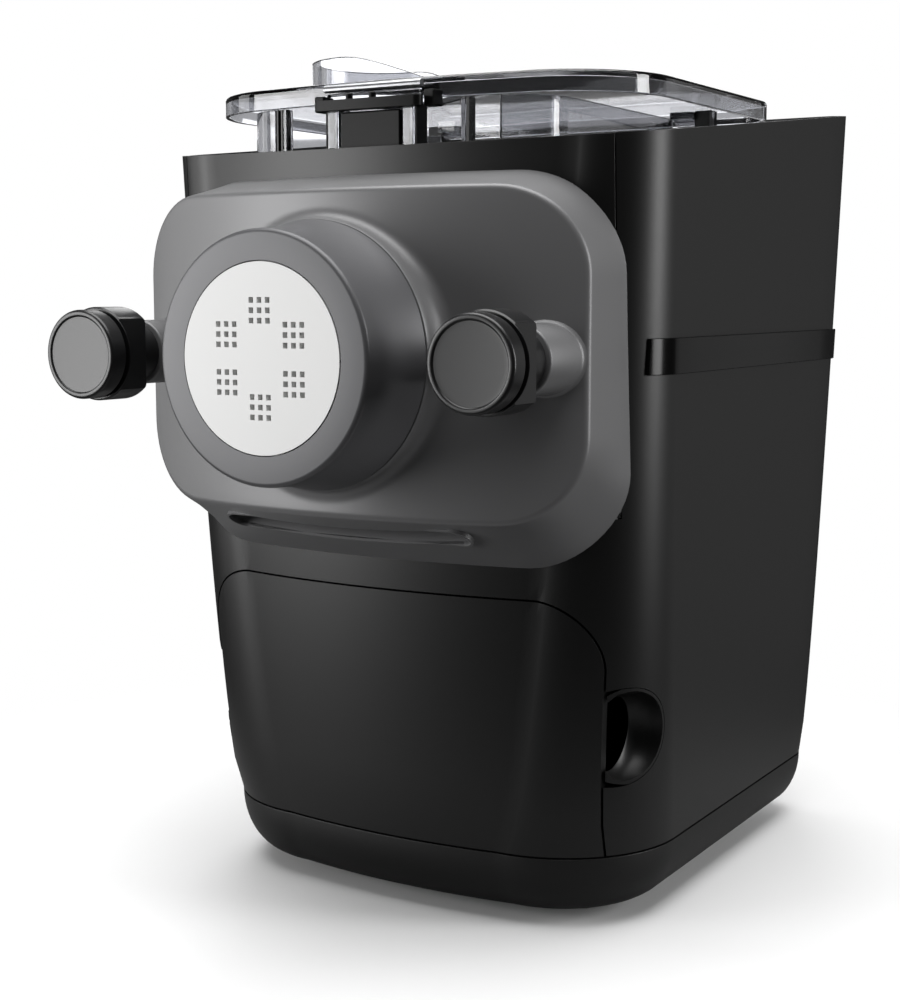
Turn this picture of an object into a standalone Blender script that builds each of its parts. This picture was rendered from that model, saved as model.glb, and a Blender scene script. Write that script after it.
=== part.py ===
# Electric pasta maker, built as separate pieces in metres with +Z up.
# The nozzle faces -Y and the machine stands on the plane Z = 0.
# The origin lies under the middle of the object's box.
import math

import bmesh
import bpy
from mathutils import Matrix, Vector

COLLECTION_NAME = "electric_pasta_maker"

# Clearances shared by all pieces
SEAT_GAP = 0.0003
SHAFT_PLAY = 0.0001
SEAM_GAP = 0.0005
SLIDE_GAP = 0.0004
CUT_OVERRUN = 0.006
MERGE_DISTANCE = 0.000001
SCREW_MERGE_DISTANCE = 0.00001
NO_SLOPE = 0.000001

# Overall
OVERALL_DEPTH = 0.311
FRONT = -OVERALL_DEPTH / 2

# Body shell: a tapered wall with a bowed front and a rim that climbs to the rear
TOP_HALF_WIDTH = 0.1125
BOTTOM_HALF_WIDTH = 0.0975
TOP_SETBACK = 0.0645
BOTTOM_SETBACK = 0.0780
BAND_PROUD = 0.0012
BOTTOM_REAR_INSET = 0.0115
TOP_FRONT_CORNER = 0.028
BOTTOM_FRONT_CORNER = 0.048
REAR_CORNER = 0.022
FRONT_BOW_RADIUS = 0.310
SEAM_DROP = 0.1938
RIM_RISE_FRONT = 0.079
RIM_RISE_REAR = 0.1053
WALL = 0.003
WIDTH_EASE_SHARE = 0.78
BOW_STEPS = 4
FRONT_CORNER_STEPS = 7
SIDE_STEPS = 2
REAR_CORNER_STEPS = 4
REAR_STEPS = 1
BODY_LEVEL_SHARES = (0, 0.14, 0.32, 0.52, 0.74, 1)

# Seams of the front fascia and of the rear cover
FASCIA_HALF_WIDTH = 0.101
FASCIA_BOTTOM_DROP = 0.060
FASCIA_DEPTH = 0.060
REAR_SEAM_INSET = 0.0105
FASCIA_TUBE_HOLE_RADIUS = 0.0425

# Base cover, feet and weighing cells
BASE_HEIGHT = 0.0275
BASE_RIM_CLEARANCE = 0.0003
BASE_INSET = 0.014
BASE_LEVEL_SHARES = (0, 0.45, 0.72, 0.9, 1)
FOOT_RADIUS = 0.009
GROUND_CLEARANCE = 0.0029
FOOT_SEAT_GAP = 0.0002
FOOT_HEIGHT = GROUND_CLEARANCE - FOOT_SEAT_GAP
NOZZLE_HEIGHT = GROUND_CLEARANCE + BASE_HEIGHT + BASE_RIM_CLEARANCE + SEAM_GAP + SEAM_DROP
FOOT_NECK_RADIUS = 0.0065
FOOT_X = 0.064
FOOT_FRONT_SETBACK = 0.126
FOOT_REAR_SETBACK = 0.266
CELL_LENGTH = 0.030
CELL_WIDTH = 0.012
CELL_HEIGHT = 0.008
CELL_HOLE_RADIUS = 0.0028
CELL_HOLE_SPREAD = 0.0020

# Side band
BAND_TOP_RISE = 0.0065
BAND_BOTTOM_DROP = 0.0070
BAND_THICKNESS = 0.0009
BAND_FRONT_SETBACK = 0.0925

# Front panel with its nozzle boss, grip recess and knob bosses
PANEL_FACE_SETBACK = 0.0365
PANEL_BOW_RADIUS = 0.210
PANEL_FACE_HALF_WIDTH = 0.0985
PANEL_FACE_TOP = 0.0595
PANEL_FACE_DROP = 0.0595
PANEL_FACE_CORNER = 0.031
PANEL_EDGE_ROUND = 0.0030
PANEL_REAR_HALF_WIDTH = 0.1030
PANEL_REAR_TOP = 0.0675
PANEL_REAR_DROP = 0.0800
PANEL_REAR_CORNER = 0.037
PANEL_RIM_CLEARANCE = 0.0005
PANEL_RIM_OVERLAP = 0.0015
EDGE_MIDDLE_SHARE = 0.5
FLARE_IN_SHARE = 0.72
FLARE_OUT_SHARE = 0.34
PANEL_WALL = 0.0028
BOSS_SETBACK = 0.0313
BOSS_RADIUS = 0.0500
BOSS_FOOT_RADIUS = 0.0555
BOSS_BORE_RADIUS = 0.0400
RAY_DEGREES = (0, 8, 15, 20, 25, 30, 36, 44, 56, 72)
GRIP_HALF_WIDTH = 0.055
GRIP_HEIGHT = 0.0115
GRIP_DEPTH = 0.0085
GRIP_SINK = 0.0010
GRIP_DISTANCE = 0.0165
GRIP_BOW_SHARE = 0.51
GRIP_STEPS = 8
GRIP_END_STEPS = 6

# Tightening knobs, their bosses and studs
KNOB_INSET = 0.0272
KNOB_X = TOP_HALF_WIDTH - KNOB_INSET
KNOB_RADIUS = 0.0178
KNOB_DISC_RADIUS = 0.0168
KNOB_FACE_RADIUS = 0.0146
KNOB_RIM_ROUND = 0.0014
KNOB_DISH = 0.0006
KNOB_DISC_DEPTH = 0.0072
KNOB_GROOVE_RADIUS = 0.0146
KNOB_GROOVE_END = 0.0092
KNOB_BLOCK_END = 0.0240
KNOB_NECK_RADIUS = 0.0108
KNOB_FLAT_OFFSET = 0.0118
KNOB_BOSS_RADIUS = 0.0125
KNOB_BOSS_SETBACK = 0.0333
KNOB_TURN_STEPS = 28
STUD_RADIUS = 0.0050
STUD_START = 0.0130
STUD_FLANGE_RADIUS = 0.0085
STUD_FLANGE_THICKNESS = 0.0030
STUD_END_RADIUS = 0.0035
STUD_END_LENGTH = 0.0085
STUD_NUT_RADIUS = 0.0065
STUD_NUT_THICKNESS = 0.0035

# Extrusion tube, disc and ring on the nozzle axis
DISC_RADIUS = 0.0340
DISC_FLANGE_RADIUS = 0.0356
DISC_FRONT_THICKNESS = 0.0026
DISC_BACK_THICKNESS = 0.0028
DISC_HOLE_SIDE = 0.0020
DISC_HOLE_PITCH = 0.0036
DISC_GROUP_RADIUS = 0.0170
DISC_GROUPS = 6
DISC_ROWS = 3
DISC_KEY_RADIUS = 0.0008
RING_FACE_SETBACK = 0.0002
RING_OUTER_RADIUS = 0.0456
RING_EDGE_ROUND = 0.0018
RING_REAR_RADIUS = 0.0496
RING_WAIST_SHARE = 0.30
RING_WALL = 0.0024
RING_POCKET_START = 0.0100
RING_THREAD_RADIUS = 0.0366
TUBE_BORE_RADIUS = 0.0270
TUBE_OUTER_RADIUS = 0.0362
TUBE_FLANGE_RADIUS = 0.0410
TUBE_FLANGE_THICKNESS = 0.0035
TURN_STEPS = 44

# Mixing chamber
CHAMBER_RADIUS = 0.0640
CHAMBER_TOP_HALF_WIDTH = 0.0790
CHAMBER_START = 0.0780
CHAMBER_LENGTH = 0.1300
CHAMBER_WALL = 0.0028
CHAMBER_RIM_TRIM = 0.0015
CHAMBER_CORNER = 0.0130
CHAMBER_FLARE_SHARE = 0.35
CHAMBER_END_SHARES = (0, 0.12, 0.42, 1)
CHAMBER_ARC_STEPS = 12
CHAMBER_WALL_STEPS = 3
CHAMBER_SEAL_THICKNESS = 0.0018
CHAMBER_SEAL_WIDTH = 0.0050

# Drive train on and below the nozzle axis
SCREW_TIP = 0.0090
SCREW_CORE_RADIUS = 0.0085
SCREW_FLIGHT_RADIUS = 0.0262
SCREW_FLIGHT_THICKNESS = 0.0032
SCREW_PITCH = 0.0270
SCREW_TURNS = 3.2
SCREW_TURN_STEPS = 14
SCREW_FLIGHT_SINK = 0.0015
SOCKET_SIDE = 0.0086
SOCKET_DEPTH = 0.0120
SCREW_SHAFT_GAP = 0.0080
TENON_SIDE = 0.0080
SHAFT_RADIUS = 0.0080
SHAFT_JOURNAL_RADIUS = 0.0060
PADDLE_START = 0.1130
PADDLE_HUB_RADIUS = 0.0125
PADDLE_REACH = 0.0545
PADDLE_REST_DEGREES = -30
PADDLE_WIRE_RADIUS = 0.0030
PADDLE_LOOPS = 2
PADDLE_SWEEP_DEGREES = 26
BULKHEAD_SETBACK = 0.2140
BULKHEAD_THICKNESS = 0.0030
BEARING_RADIUS = 0.0150
BEARING_DEPTH = 0.0060
SEAL_RADIUS = 0.0120
GEAR_MODULE_SLOW = 0.0023333
GEAR_MODULE_FAST = 0.0016667
OUTPUT_TEETH = 36
SMALL_TEETH = 9
LARGE_TEETH = 36
PINION_TEETH = 9
TOOTH_TIP_SHARE = 0.22
TOOTH_ROOT_SHARE = 0.56
ADDENDUM_SHARE = 0.80
DEDENDUM_SHARE = 1.05
FAST_GEAR_WIDTH = 0.0080
SLOW_GEAR_WIDTH = 0.0110
GEAR_SIDE_PLAY = 0.0010
PIN_RADIUS = 0.0040
HOUSING_WALL = 0.0030
HOUSING_MARGIN = 0.0035
HOUSING_LOWER_RADIUS = 0.0330
HOUSING_LOWER_DROP = 0.0760
HOUSING_STEPS = 8
MOTOR_RADIUS = 0.0350
MOTOR_LENGTH = 0.0450
MOTOR_SHAFT_RADIUS = 0.0030
MOTOR_EDGE = 0.0030
FAN_RADIUS = 0.0300
FAN_HUB_RADIUS = 0.0080
FAN_WIDTH = 0.0070
FAN_BLADES = 7
FAN_BLADE_THICKNESS = 0.0014
FAN_BLADE_TILT_DEGREES = 32
FAN_BLADE_SHARE = 0.9
FAN_GAP = 0.0015

# Chassis
SHELF_THICKNESS = 0.0030
CHASSIS_CLEARANCE = 0.0008
UPRIGHT_WIDTH = 0.0140
UPRIGHT_SETBACK = 0.0935
UPRIGHT_THICKNESS = 0.0040
UPRIGHT_RISE = 0.0120
STUD_HOLE_PLAY = 0.0004
BULKHEAD_BOWL_SHARE = 0.60

# Drawer
DRAWER_TOP_DROP = 0.0920
DRAWER_HALF_WIDTH_TOP = 0.0925
DRAWER_HALF_WIDTH_BOTTOM = 0.0880
DRAWER_TOP_CORNER = 0.0260
DRAWER_CORNER_STEPS = 6
DRAWER_DEPTH = 0.0500
TRAY_HALF_WIDTH = 0.0740
TRAY_CORNER = 0.0240
TRAY_WALL = 0.0022
TRAY_EDGE = 0.0040
TRAY_FRONT_GAP = 0.0008
TRAY_END_SETBACK = 0.2060
TRAY_TOP_GAP = 0.0120
FINGER_CUP_RADIUS = 0.0195
FINGER_CUP_DEPTH = 0.0180
FINGER_CUP_STAND = 0.0060
FINGER_CUP_FILLET = 0.0040
FINGER_CUP_WALL = 0.0020
FINGER_CUP_SETBACK = 0.0960
FINGER_CUP_DROP = 0.1450
FINGER_CUP_REACH = 0.1010
FINGER_CUP_FLOOR_RADIUS = 0.0120

# Top deck, control panel and buttons
DECK_DROP = 0.0040
DECK_THICKNESS = 0.0025
DECK_OPENING_HALF_WIDTH = 0.0780
DECK_OPENING_START = 0.0772
DECK_OPENING_END = 0.2090
CONTROL_START = 0.2440
CONTROL_END = 0.3000
CONTROL_HALF_WIDTH = 0.0880
CONTROL_THICKNESS = 0.0016
CONTROL_CORNER = 0.0080
DISPLAY_HALF_WIDTH = 0.0200
DISPLAY_LENGTH = 0.0200
DISPLAY_THICKNESS = 0.0014
BUTTON_RADIUS = 0.0070
BUTTON_STAND = 0.0012
BUTTON_TRAVEL = 0.0010
BUTTON_ROUND = 0.0006
BUTTON_PLAY = 0.0003
BUTTON_PLACES = (("power_button", -0.068), ("weigh_button", -0.042), ("program_button", 0.042),
        ("start_button", 0.068))
BOARD_THICKNESS = 0.0016
BOARD_DROP = 0.0075
BOARD_HALF_WIDTH = 0.0820
BOARD_LENGTH = 0.0400
POST_RADIUS = 0.0030
POST_X = 0.0760
POST_Y = 0.0160

# Lid with its hinge and latch
LID_BOTTOM_RISE = 0.0982
LID_TOP_RISE = 0.1062
LID_WALL = 0.0024
LID_HALF_WIDTH = 0.0970
LID_START = 0.0665
LID_LENGTH = 0.1600
LID_FRONT_CORNER = 0.0420
LID_REAR_CORNER = 0.0250
LID_BOW_RADIUS = 0.420
LID_EDGE_ROUND = 0.0018
COLLAR_X = -0.0310
COLLAR_SETBACK = 0.1240
COLLAR_RADIUS = 0.0280
COLLAR_TIP_X = 0.0270
COLLAR_WALL = 0.0022
COLLAR_RISE = 0.0120
COLLAR_LIP = 0.0004
COLLAR_STEPS = 16
NOTCH_HALF_WIDTH = 0.0260
NOTCH_DEPTH = 0.0090
HINGE_SETBACK = 0.2330
HINGE_RISE = 0.1010
HINGE_KNUCKLE_RADIUS = 0.0046
HINGE_PIN_RADIUS = 0.0020
HINGE_X = 0.0600
HINGE_KNUCKLE_LENGTH = 0.0100
HINGE_LUG_LENGTH = 0.0070
HINGE_LUG_WIDTH = 0.0090
LATCH_BAR_HALF_WIDTH = 0.0254
LATCH_BAR_HEIGHT = 0.0032
LATCH_BAR_DEPTH = 0.0048
LATCH_SETBACK = 0.0640
LATCH_RISE = 0.0968
LATCH_ARM_WIDTH = 0.0040
LATCH_ARM_X = 0.0170
LATCH_PIVOT_SETBACK = 0.0722
LATCH_PIVOT_RISE = 0.1010
LATCH_PIVOT_RADIUS = 0.0015
LATCH_EYE_RADIUS = 0.0030
LATCH_EAR_WIDTH = 0.0024
LATCH_EAR_X = 0.0208
LATCH_TAB_HALF_WIDTH = 0.0120
LATCH_TAB_THICKNESS = 0.0014
LATCH_TAB_DROP = 0.0050
BLOCK_HALF_WIDTH = 0.0170
BLOCK_SETBACK = 0.0700
BLOCK_DEPTH = 0.0052
BLOCK_TOP_RISE = 0.0945
BLOCK_RIB_HEIGHT = 0.0010

# Rear cover details
VENT_COUNT = 7
VENT_LENGTH = 0.0700
VENT_WIDTH = 0.0026
VENT_PITCH = 0.0080
VENT_TOP_DROP = 0.0620
INLET_X = 0.0550
INLET_DROP = 0.1700
INLET_WIDTH = 0.0290
INLET_HEIGHT = 0.0210
INLET_FRAME = 0.0035
INLET_FRAME_THICKNESS = 0.0020
INLET_DEPTH = 0.0200
INLET_WALL = 0.0018
INLET_PIN_SIDE = 0.0020
INLET_PIN_HEIGHT = 0.0040
INLET_PIN_LENGTH = 0.0100
INLET_PIN_PITCH = 0.0070
INLET_PIN_DROP = 0.0030
INLET_CARRIER_THICKNESS = 0.0015


# Scene, collections and materials

def clear_scene():
    for item in list(bpy.data.objects):
        bpy.data.objects.remove(item, do_unlink=True)


def new_collection(name):
    collection = bpy.data.collections.new(name)
    bpy.context.scene.collection.children.link(collection)
    return collection


clear_scene()
PARTS = new_collection(COLLECTION_NAME)
CUTTERS = new_collection("cutters")


def material(name, colour, roughness, metallic=0.0, alpha=1.0):
    made = bpy.data.materials.new(name)
    made.use_nodes = True
    shader = made.node_tree.nodes["Principled BSDF"]
    shader.inputs["Base Color"].default_value = (*colour, 1.0)
    shader.inputs["Roughness"].default_value = roughness
    shader.inputs["Metallic"].default_value = metallic
    shader.inputs["Alpha"].default_value = alpha
    made.diffuse_color = (*colour, alpha)
    return made


MATTE_BLACK = ((0.018, 0.018, 0.019), 0.48)
GLOSS_BLACK = ((0.010, 0.010, 0.011), 0.12)
SATIN_GREY = ((0.095, 0.096, 0.100), 0.36)
KNOB_BLACK = ((0.020, 0.020, 0.021), 0.30)
WHITE = ((0.86, 0.86, 0.85), 0.42)
CLEAR_SMOKE = ((0.62, 0.63, 0.64), 0.06)
RUBBER = ((0.030, 0.030, 0.030), 0.80)
STEEL = ((0.55, 0.55, 0.56), 0.28)
ZINC = ((0.42, 0.43, 0.44), 0.45)
GEAR_WHITE = ((0.78, 0.77, 0.72), 0.50)
BOARD_GREEN = ((0.020, 0.110, 0.050), 0.50)
BRASS = ((0.62, 0.45, 0.18), 0.30)


# Mesh helpers

def place(obj, finish, metallic=0.0, alpha=1.0):
    """Give a finished part its material and its collection."""
    colour, roughness = finish
    obj.data.materials.clear()
    obj.data.materials.append(material(obj.name, colour, roughness, metallic, alpha))
    return obj


def mesh_object(name, mesh, cutter=False):
    obj = bpy.data.objects.new(name, mesh)
    if cutter:
        CUTTERS.objects.link(obj)
        obj.hide_render = True
        obj.display_type = "WIRE"
    else:
        PARTS.objects.link(obj)
    return obj


def from_bmesh(name, bm, cutter=False, smooth_degrees=35):
    bmesh.ops.recalc_face_normals(bm, faces=bm.faces)
    mesh = bpy.data.meshes.new(name)
    bm.to_mesh(mesh)
    bm.free()
    mesh.shade_smooth()
    mesh.set_sharp_from_angle(angle=math.radians(smooth_degrees))
    return mesh_object(name, mesh, cutter)


def box(name, low, high, cutter=False):
    """A box between two corners."""
    bm = bmesh.new()
    size = Vector(high) - Vector(low)
    middle = (Vector(high) + Vector(low)) / 2
    bmesh.ops.create_cube(bm, size=1, matrix=Matrix.Translation(middle) @ Matrix.Diagonal((*size, 1)))
    return from_bmesh(name, bm, cutter)


def facing(axis):
    """Rotation that turns +Z to an axis: y means -Y, and deck means square to the sloped deck."""
    turns = {
        "z": Matrix.Identity(4),
        "y": Matrix.Rotation(math.pi / 2, 4, "X"),
        "x": Matrix.Rotation(math.pi / 2, 4, "Y"),
        "deck": Matrix.Rotation(math.atan(RIM_SLOPE), 4, "X"),
    }
    return turns[axis]


def cylinder(name, radius, length, centre, axis="z", steps=24, cutter=False):
    bm = bmesh.new()
    matrix = Matrix.Translation(centre) @ facing(axis)
    bmesh.ops.create_cone(bm, cap_ends=True, segments=steps, radius1=radius, radius2=radius,
                          depth=length, matrix=matrix)
    return from_bmesh(name, bm, cutter)


def turned(name, profile, centre, axis="y", steps=TURN_STEPS, cutter=False):
    """Screw a profile of (radius, height) points, top to bottom, round an axis.

    Heights run along +Z before turning, and so against +Y when the axis is y.
    """
    mesh = bpy.data.meshes.new(name)
    points = [(radius, 0, height) for radius, height in profile]
    closed = profile[0][0] > 0
    edges = [(i, i + 1) for i in range(len(points) - 1)]
    if closed:
        edges.append((len(points) - 1, 0))
    mesh.from_pydata(points, edges, [])
    obj = mesh_object(name, mesh, cutter)
    screw = obj.modifiers.new("screw", "SCREW")
    screw.axis = "Z"
    screw.angle = 2 * math.pi
    screw.steps = steps
    screw.render_steps = steps
    screw.use_merge_vertices = True
    screw.merge_threshold = SCREW_MERGE_DISTANCE
    screw.use_normal_calculate = False
    obj.matrix_world = Matrix.Translation(centre) @ facing(axis)
    return baked(obj, cutter)


def baked(obj, cutter=False):
    """Apply the modifiers and the placement, so that later steps see a plain mesh."""
    bpy.context.view_layer.update()
    graph = bpy.context.evaluated_depsgraph_get()
    mesh = bpy.data.meshes.new_from_object(obj.evaluated_get(graph), depsgraph=graph)
    mesh.transform(obj.matrix_world)
    name = obj.name
    bpy.data.objects.remove(obj, do_unlink=True)
    bm = bmesh.new()
    bm.from_mesh(mesh)
    bmesh.ops.remove_doubles(bm, verts=bm.verts, dist=MERGE_DISTANCE)
    return from_bmesh(name, bm, cutter)


def flat_solid(name, points, thickness, centre, axis="z", cutter=False, holes=(), matrix=None):
    """A flat outline given thickness both ways, as a filled 2D curve."""
    curve = bpy.data.curves.new(name, "CURVE")
    curve.dimensions = "2D"
    curve.fill_mode = "BOTH"
    curve.extrude = thickness / 2
    for outline in (points, *holes):
        spline = curve.splines.new("POLY")
        spline.points.add(len(outline) - 1)
        for point, place_2d in zip(spline.points, outline):
            point.co = (place_2d[0], place_2d[1], 0, 1)
        spline.use_cyclic_u = True
    obj = bpy.data.objects.new(name, curve)
    PARTS.objects.link(obj)
    obj.matrix_world = matrix or Matrix.Translation(centre) @ facing(axis)
    return baked(obj, cutter)


def loft(name, rings, cap_first=True, cap_last=True, closed=True, cutter=False):
    """Join rings of equal point counts, for sections that differ from level to level."""
    bm = bmesh.new()
    rows = [[bm.verts.new(point) for point in ring] for ring in rings]
    count = len(rings[0])
    spans = count if closed else count - 1
    for lower, upper in zip(rows, rows[1:]):
        for i in range(spans):
            j = (i + 1) % count
            bm.faces.new((lower[i], lower[j], upper[j], upper[i]))
    if cap_first:
        bm.faces.new(rows[0])
    if cap_last:
        bm.faces.new(rows[-1])
    return from_bmesh(name, bm, cutter)


def flip_to(obj, inside_point):
    """Turn the faces of an open surface so that they look away from a point inside."""
    bm = bmesh.new()
    bm.from_mesh(obj.data)
    away = 0.0
    for face in bm.faces:
        away += face.calc_area() * face.normal.dot(face.calc_center_median() - Vector(inside_point))
    if away < 0:
        bmesh.ops.reverse_faces(bm, faces=bm.faces)
    bm.to_mesh(obj.data)
    bm.free()
    return obj


def solidify(obj, thickness, inside_point):
    """Turn an open surface to a shell whose thickness grows inward."""
    flip_to(obj, inside_point)
    shell = obj.modifiers.new("shell", "SOLIDIFY")
    shell.thickness = thickness
    shell.offset = -1
    shell.use_even_offset = True
    shell.use_rim = True
    shell.use_quality_normals = True
    return baked(obj)


def boolean(obj, other, operation):
    step = obj.modifiers.new(operation.lower(), "BOOLEAN")
    step.operation = operation
    step.object = other
    step.solver = "EXACT"
    return obj


def cut(obj, *cutters):
    for cutter in cutters:
        boolean(obj, cutter, "DIFFERENCE")
    return obj


def keep(obj, cutter):
    return boolean(obj, cutter, "INTERSECT")


def fuse(obj, *others):
    """Union with helper solids, which move to the cutters."""
    for other in others:
        for holder in list(other.users_collection):
            holder.objects.unlink(other)
        CUTTERS.objects.link(other)
        other.hide_render = True
        other.display_type = "WIRE"
        boolean(obj, other, "UNION")
    return obj


def bevel(obj, width, segments=2, degrees=40):
    step = obj.modifiers.new("bevel", "BEVEL")
    step.width = width
    step.segments = segments
    step.limit_method = "ANGLE"
    step.angle_limit = math.radians(degrees)
    return obj


def set_origin(obj, point):
    """Move the origin to a point and leave the shape where it is."""
    obj.data.transform(Matrix.Translation(-Vector(point)))
    obj.location = point
    return obj


def arc(cx, cy, radius, start, end, steps):
    """Points on an arc, angles in degrees, both ends included."""
    points = []
    for i in range(steps + 1):
        angle = math.radians(start + (end - start) * i / steps)
        points.append((cx + radius * math.cos(angle), cy + radius * math.sin(angle)))
    return points


def rounded_rectangle(low, high, radius, steps=5):
    points = []
    corners = (
        (high[0] - radius, high[1] - radius, 0),
        (low[0] + radius, high[1] - radius, 90),
        (low[0] + radius, low[1] + radius, 180),
        (high[0] - radius, low[1] + radius, 270),
    )
    for cx, cy, start in corners:
        points += arc(cx, cy, radius, start, start + 90, steps)
    return points


# The plan section of the body: bowed front, round corners, straight sides and rear

def bow_depth(x, bow_radius):
    return bow_radius - math.sqrt(bow_radius * bow_radius - x * x)


def section(half_width, front, rear, front_corner, rear_corner, bow_radius):
    """Closed ring of (x, y) points, from the middle of the front round the +X side."""
    start = half_width - front_corner
    half = []
    for i in range(BOW_STEPS):
        x = start * i / BOW_STEPS
        half.append((x, front + bow_depth(x, bow_radius)))
    corner_y = front + bow_depth(start, bow_radius) + front_corner
    half += arc(start, corner_y, front_corner, -90, 0, FRONT_CORNER_STEPS)
    rear_start = rear - rear_corner
    for i in range(1, SIDE_STEPS):
        half.append((half_width, corner_y + (rear_start - corner_y) * i / SIDE_STEPS))
    half += arc(half_width - rear_corner, rear_start, rear_corner, 0, 90, REAR_CORNER_STEPS)
    for i in range(1, REAR_STEPS + 1):
        half.append(((half_width - rear_corner) * (1 - i / REAR_STEPS), rear))
    other = [(-x, y) for x, y in reversed(half[1:-1])]
    return half + other


def mix(low, high, share):
    return low + (high - low) * share


def body_section(share, inset=0.0):
    """The body's outline at a share of its height, drawn in by an inset."""
    eased = share ** WIDTH_EASE_SHARE if share > 0 else 0.0
    half_width = mix(BOTTOM_HALF_WIDTH, TOP_HALF_WIDTH, eased)
    front = FRONT + mix(BOTTOM_SETBACK, TOP_SETBACK, eased)
    rear = -FRONT - mix(BOTTOM_REAR_INSET, 0.0, share)
    corner = mix(BOTTOM_FRONT_CORNER, TOP_FRONT_CORNER, eased)
    return section(half_width - inset, front + inset, rear - inset, corner - inset,
                   REAR_CORNER - inset, FRONT_BOW_RADIUS)


SEAM_Z = NOZZLE_HEIGHT - SEAM_DROP
RIM_FRONT_Y = FRONT + TOP_SETBACK
RIM_REAR_Y = -FRONT
RIM_SLOPE = (RIM_RISE_REAR - RIM_RISE_FRONT) / (RIM_REAR_Y - RIM_FRONT_Y)


def rim_z(y):
    """Height of the rim plane above the table at a depth."""
    return NOZZLE_HEIGHT + RIM_RISE_FRONT + RIM_SLOPE * (y - RIM_FRONT_Y)


def share_at(y, z):
    return min(1.0, max(0.0, (z - SEAM_Z) / (rim_z(y) - SEAM_Z)))


def section_at_height(z, inset=0.0):
    """The body's outline on a level plane, point by point up the tapered wall."""
    middle_y = (RIM_FRONT_Y + RIM_REAR_Y) / 2
    ring = body_section(share_at(middle_y, z), inset)
    for _ in range(3):
        ring = [body_section(share_at(y, z), inset)[i] for i, (x, y) in enumerate(ring)]
    return [(x, y, z) for x, y in ring]


def body_ring(share, inset=0.0):
    ring = []
    for x, y in body_section(share, inset):
        ring.append((x, y, mix(SEAM_Z, rim_z(y), share)))
    return ring


def wall_surface(name):
    rings = [body_ring(share) for share in BODY_LEVEL_SHARES]
    surface = loft(name, rings, cap_first=False, cap_last=False)
    return solidify(surface, WALL, (0, 0, NOZZLE_HEIGHT))


# Shared cutters of the body wall

def body_volume(name, inset=0.0):
    """The whole body as one solid, to trim what meets its outside."""
    return loft(name, [body_ring(share, inset) for share in BODY_LEVEL_SHARES], cutter=True)


def fascia_block(name, gap):
    low = (-FASCIA_HALF_WIDTH - gap, FRONT, NOZZLE_HEIGHT - FASCIA_BOTTOM_DROP - gap)
    high = (FASCIA_HALF_WIDTH + gap, RIM_FRONT_Y + FASCIA_DEPTH, rim_z(RIM_REAR_Y) + CUT_OVERRUN)
    return box(name, low, high, cutter=True)


def rear_block(name, gap):
    """Everything behind the rear seam, which leans with the rear wall."""
    side = TOP_HALF_WIDTH + CUT_OVERRUN
    rings = []
    for z in (0.0, rim_z(RIM_REAR_Y) + CUT_OVERRUN):
        share = (z - SEAM_Z) / (rim_z(RIM_REAR_Y) - SEAM_Z)
        seam_y = -FRONT - mix(BOTTOM_REAR_INSET, 0.0, share) - REAR_SEAM_INSET - gap
        far_y = -FRONT + CUT_OVERRUN
        rings.append([(-side, seam_y, z), (side, seam_y, z), (side, far_y, z), (-side, far_y, z)])
    return loft(name, rings, cutter=True)


def drawer_outline(gap):
    """Front view of the drawer front: (x, z) with round upper corners, open end below."""
    top = NOZZLE_HEIGHT - DRAWER_TOP_DROP + gap
    bottom = SEAM_Z - CUT_OVERRUN
    upper = DRAWER_HALF_WIDTH_TOP + gap
    lower = DRAWER_HALF_WIDTH_BOTTOM + gap
    corner = DRAWER_TOP_CORNER + gap
    right = [(lower, bottom)]
    right += arc(upper - corner, top - corner, corner, 0, 90, DRAWER_CORNER_STEPS)
    left = [(-x, z) for x, z in reversed(right)]
    return right + left


DRAWER_FRONT_Y = FRONT + TOP_SETBACK


def drawer_block(name, gap):
    """Prism through the front wall; its Y runs against the turned curve's own axis."""
    middle = DRAWER_FRONT_Y + DRAWER_DEPTH / 2
    points = drawer_outline(gap)
    return flat_solid(name, points, DRAWER_DEPTH, (0, middle, 0), "y", cutter=True)


def cup_axis_point(side):
    """Where the finger cup's centre line meets the wall, on one side."""
    return Vector((side * FINGER_CUP_REACH, FRONT + FINGER_CUP_SETBACK, NOZZLE_HEIGHT - FINGER_CUP_DROP))


# Body shell, fascia, rear cover and band

def body_shell():
    shell = wall_surface("body_shell")
    cut(shell, fascia_block("fascia_opening", 0.0), rear_block("rear_opening", 0.0))
    cut(shell, drawer_block("drawer_opening", SLIDE_GAP))
    for side in (-1, 1):
        hole = cylinder(f"cup_hole_{side}", FINGER_CUP_RADIUS + SEAT_GAP, FINGER_CUP_REACH / 2,
                        cup_axis_point(side), "x", 28, cutter=True)
        cut(shell, hole)
    return place(shell, MATTE_BLACK)


def front_fascia():
    fascia = keep(wall_surface("front_fascia"), fascia_block("fascia_region", -SEAM_GAP))
    cut(fascia, cylinder("fascia_tube_hole", FASCIA_TUBE_HOLE_RADIUS, FASCIA_DEPTH,
                         (0, RIM_FRONT_Y, NOZZLE_HEIGHT), "y", 40, cutter=True))
    for side in (-1, 1):
        hole = cylinder(f"fascia_stud_hole_{side}", STUD_RADIUS + STUD_HOLE_PLAY, FASCIA_DEPTH,
                        (side * KNOB_X, RIM_FRONT_Y + FASCIA_DEPTH / 2,
                            NOZZLE_HEIGHT), "y", 20, cutter=True)
        cut(fascia, hole)
    return place(fascia, MATTE_BLACK)


def inlet_centre():
    z = NOZZLE_HEIGHT - INLET_DROP
    frame_top = z + INLET_HEIGHT / 2 + INLET_FRAME
    rear = max(y for x, y, _ in section_at_height(frame_top))
    return Vector((INLET_X, rear, z))


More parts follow.
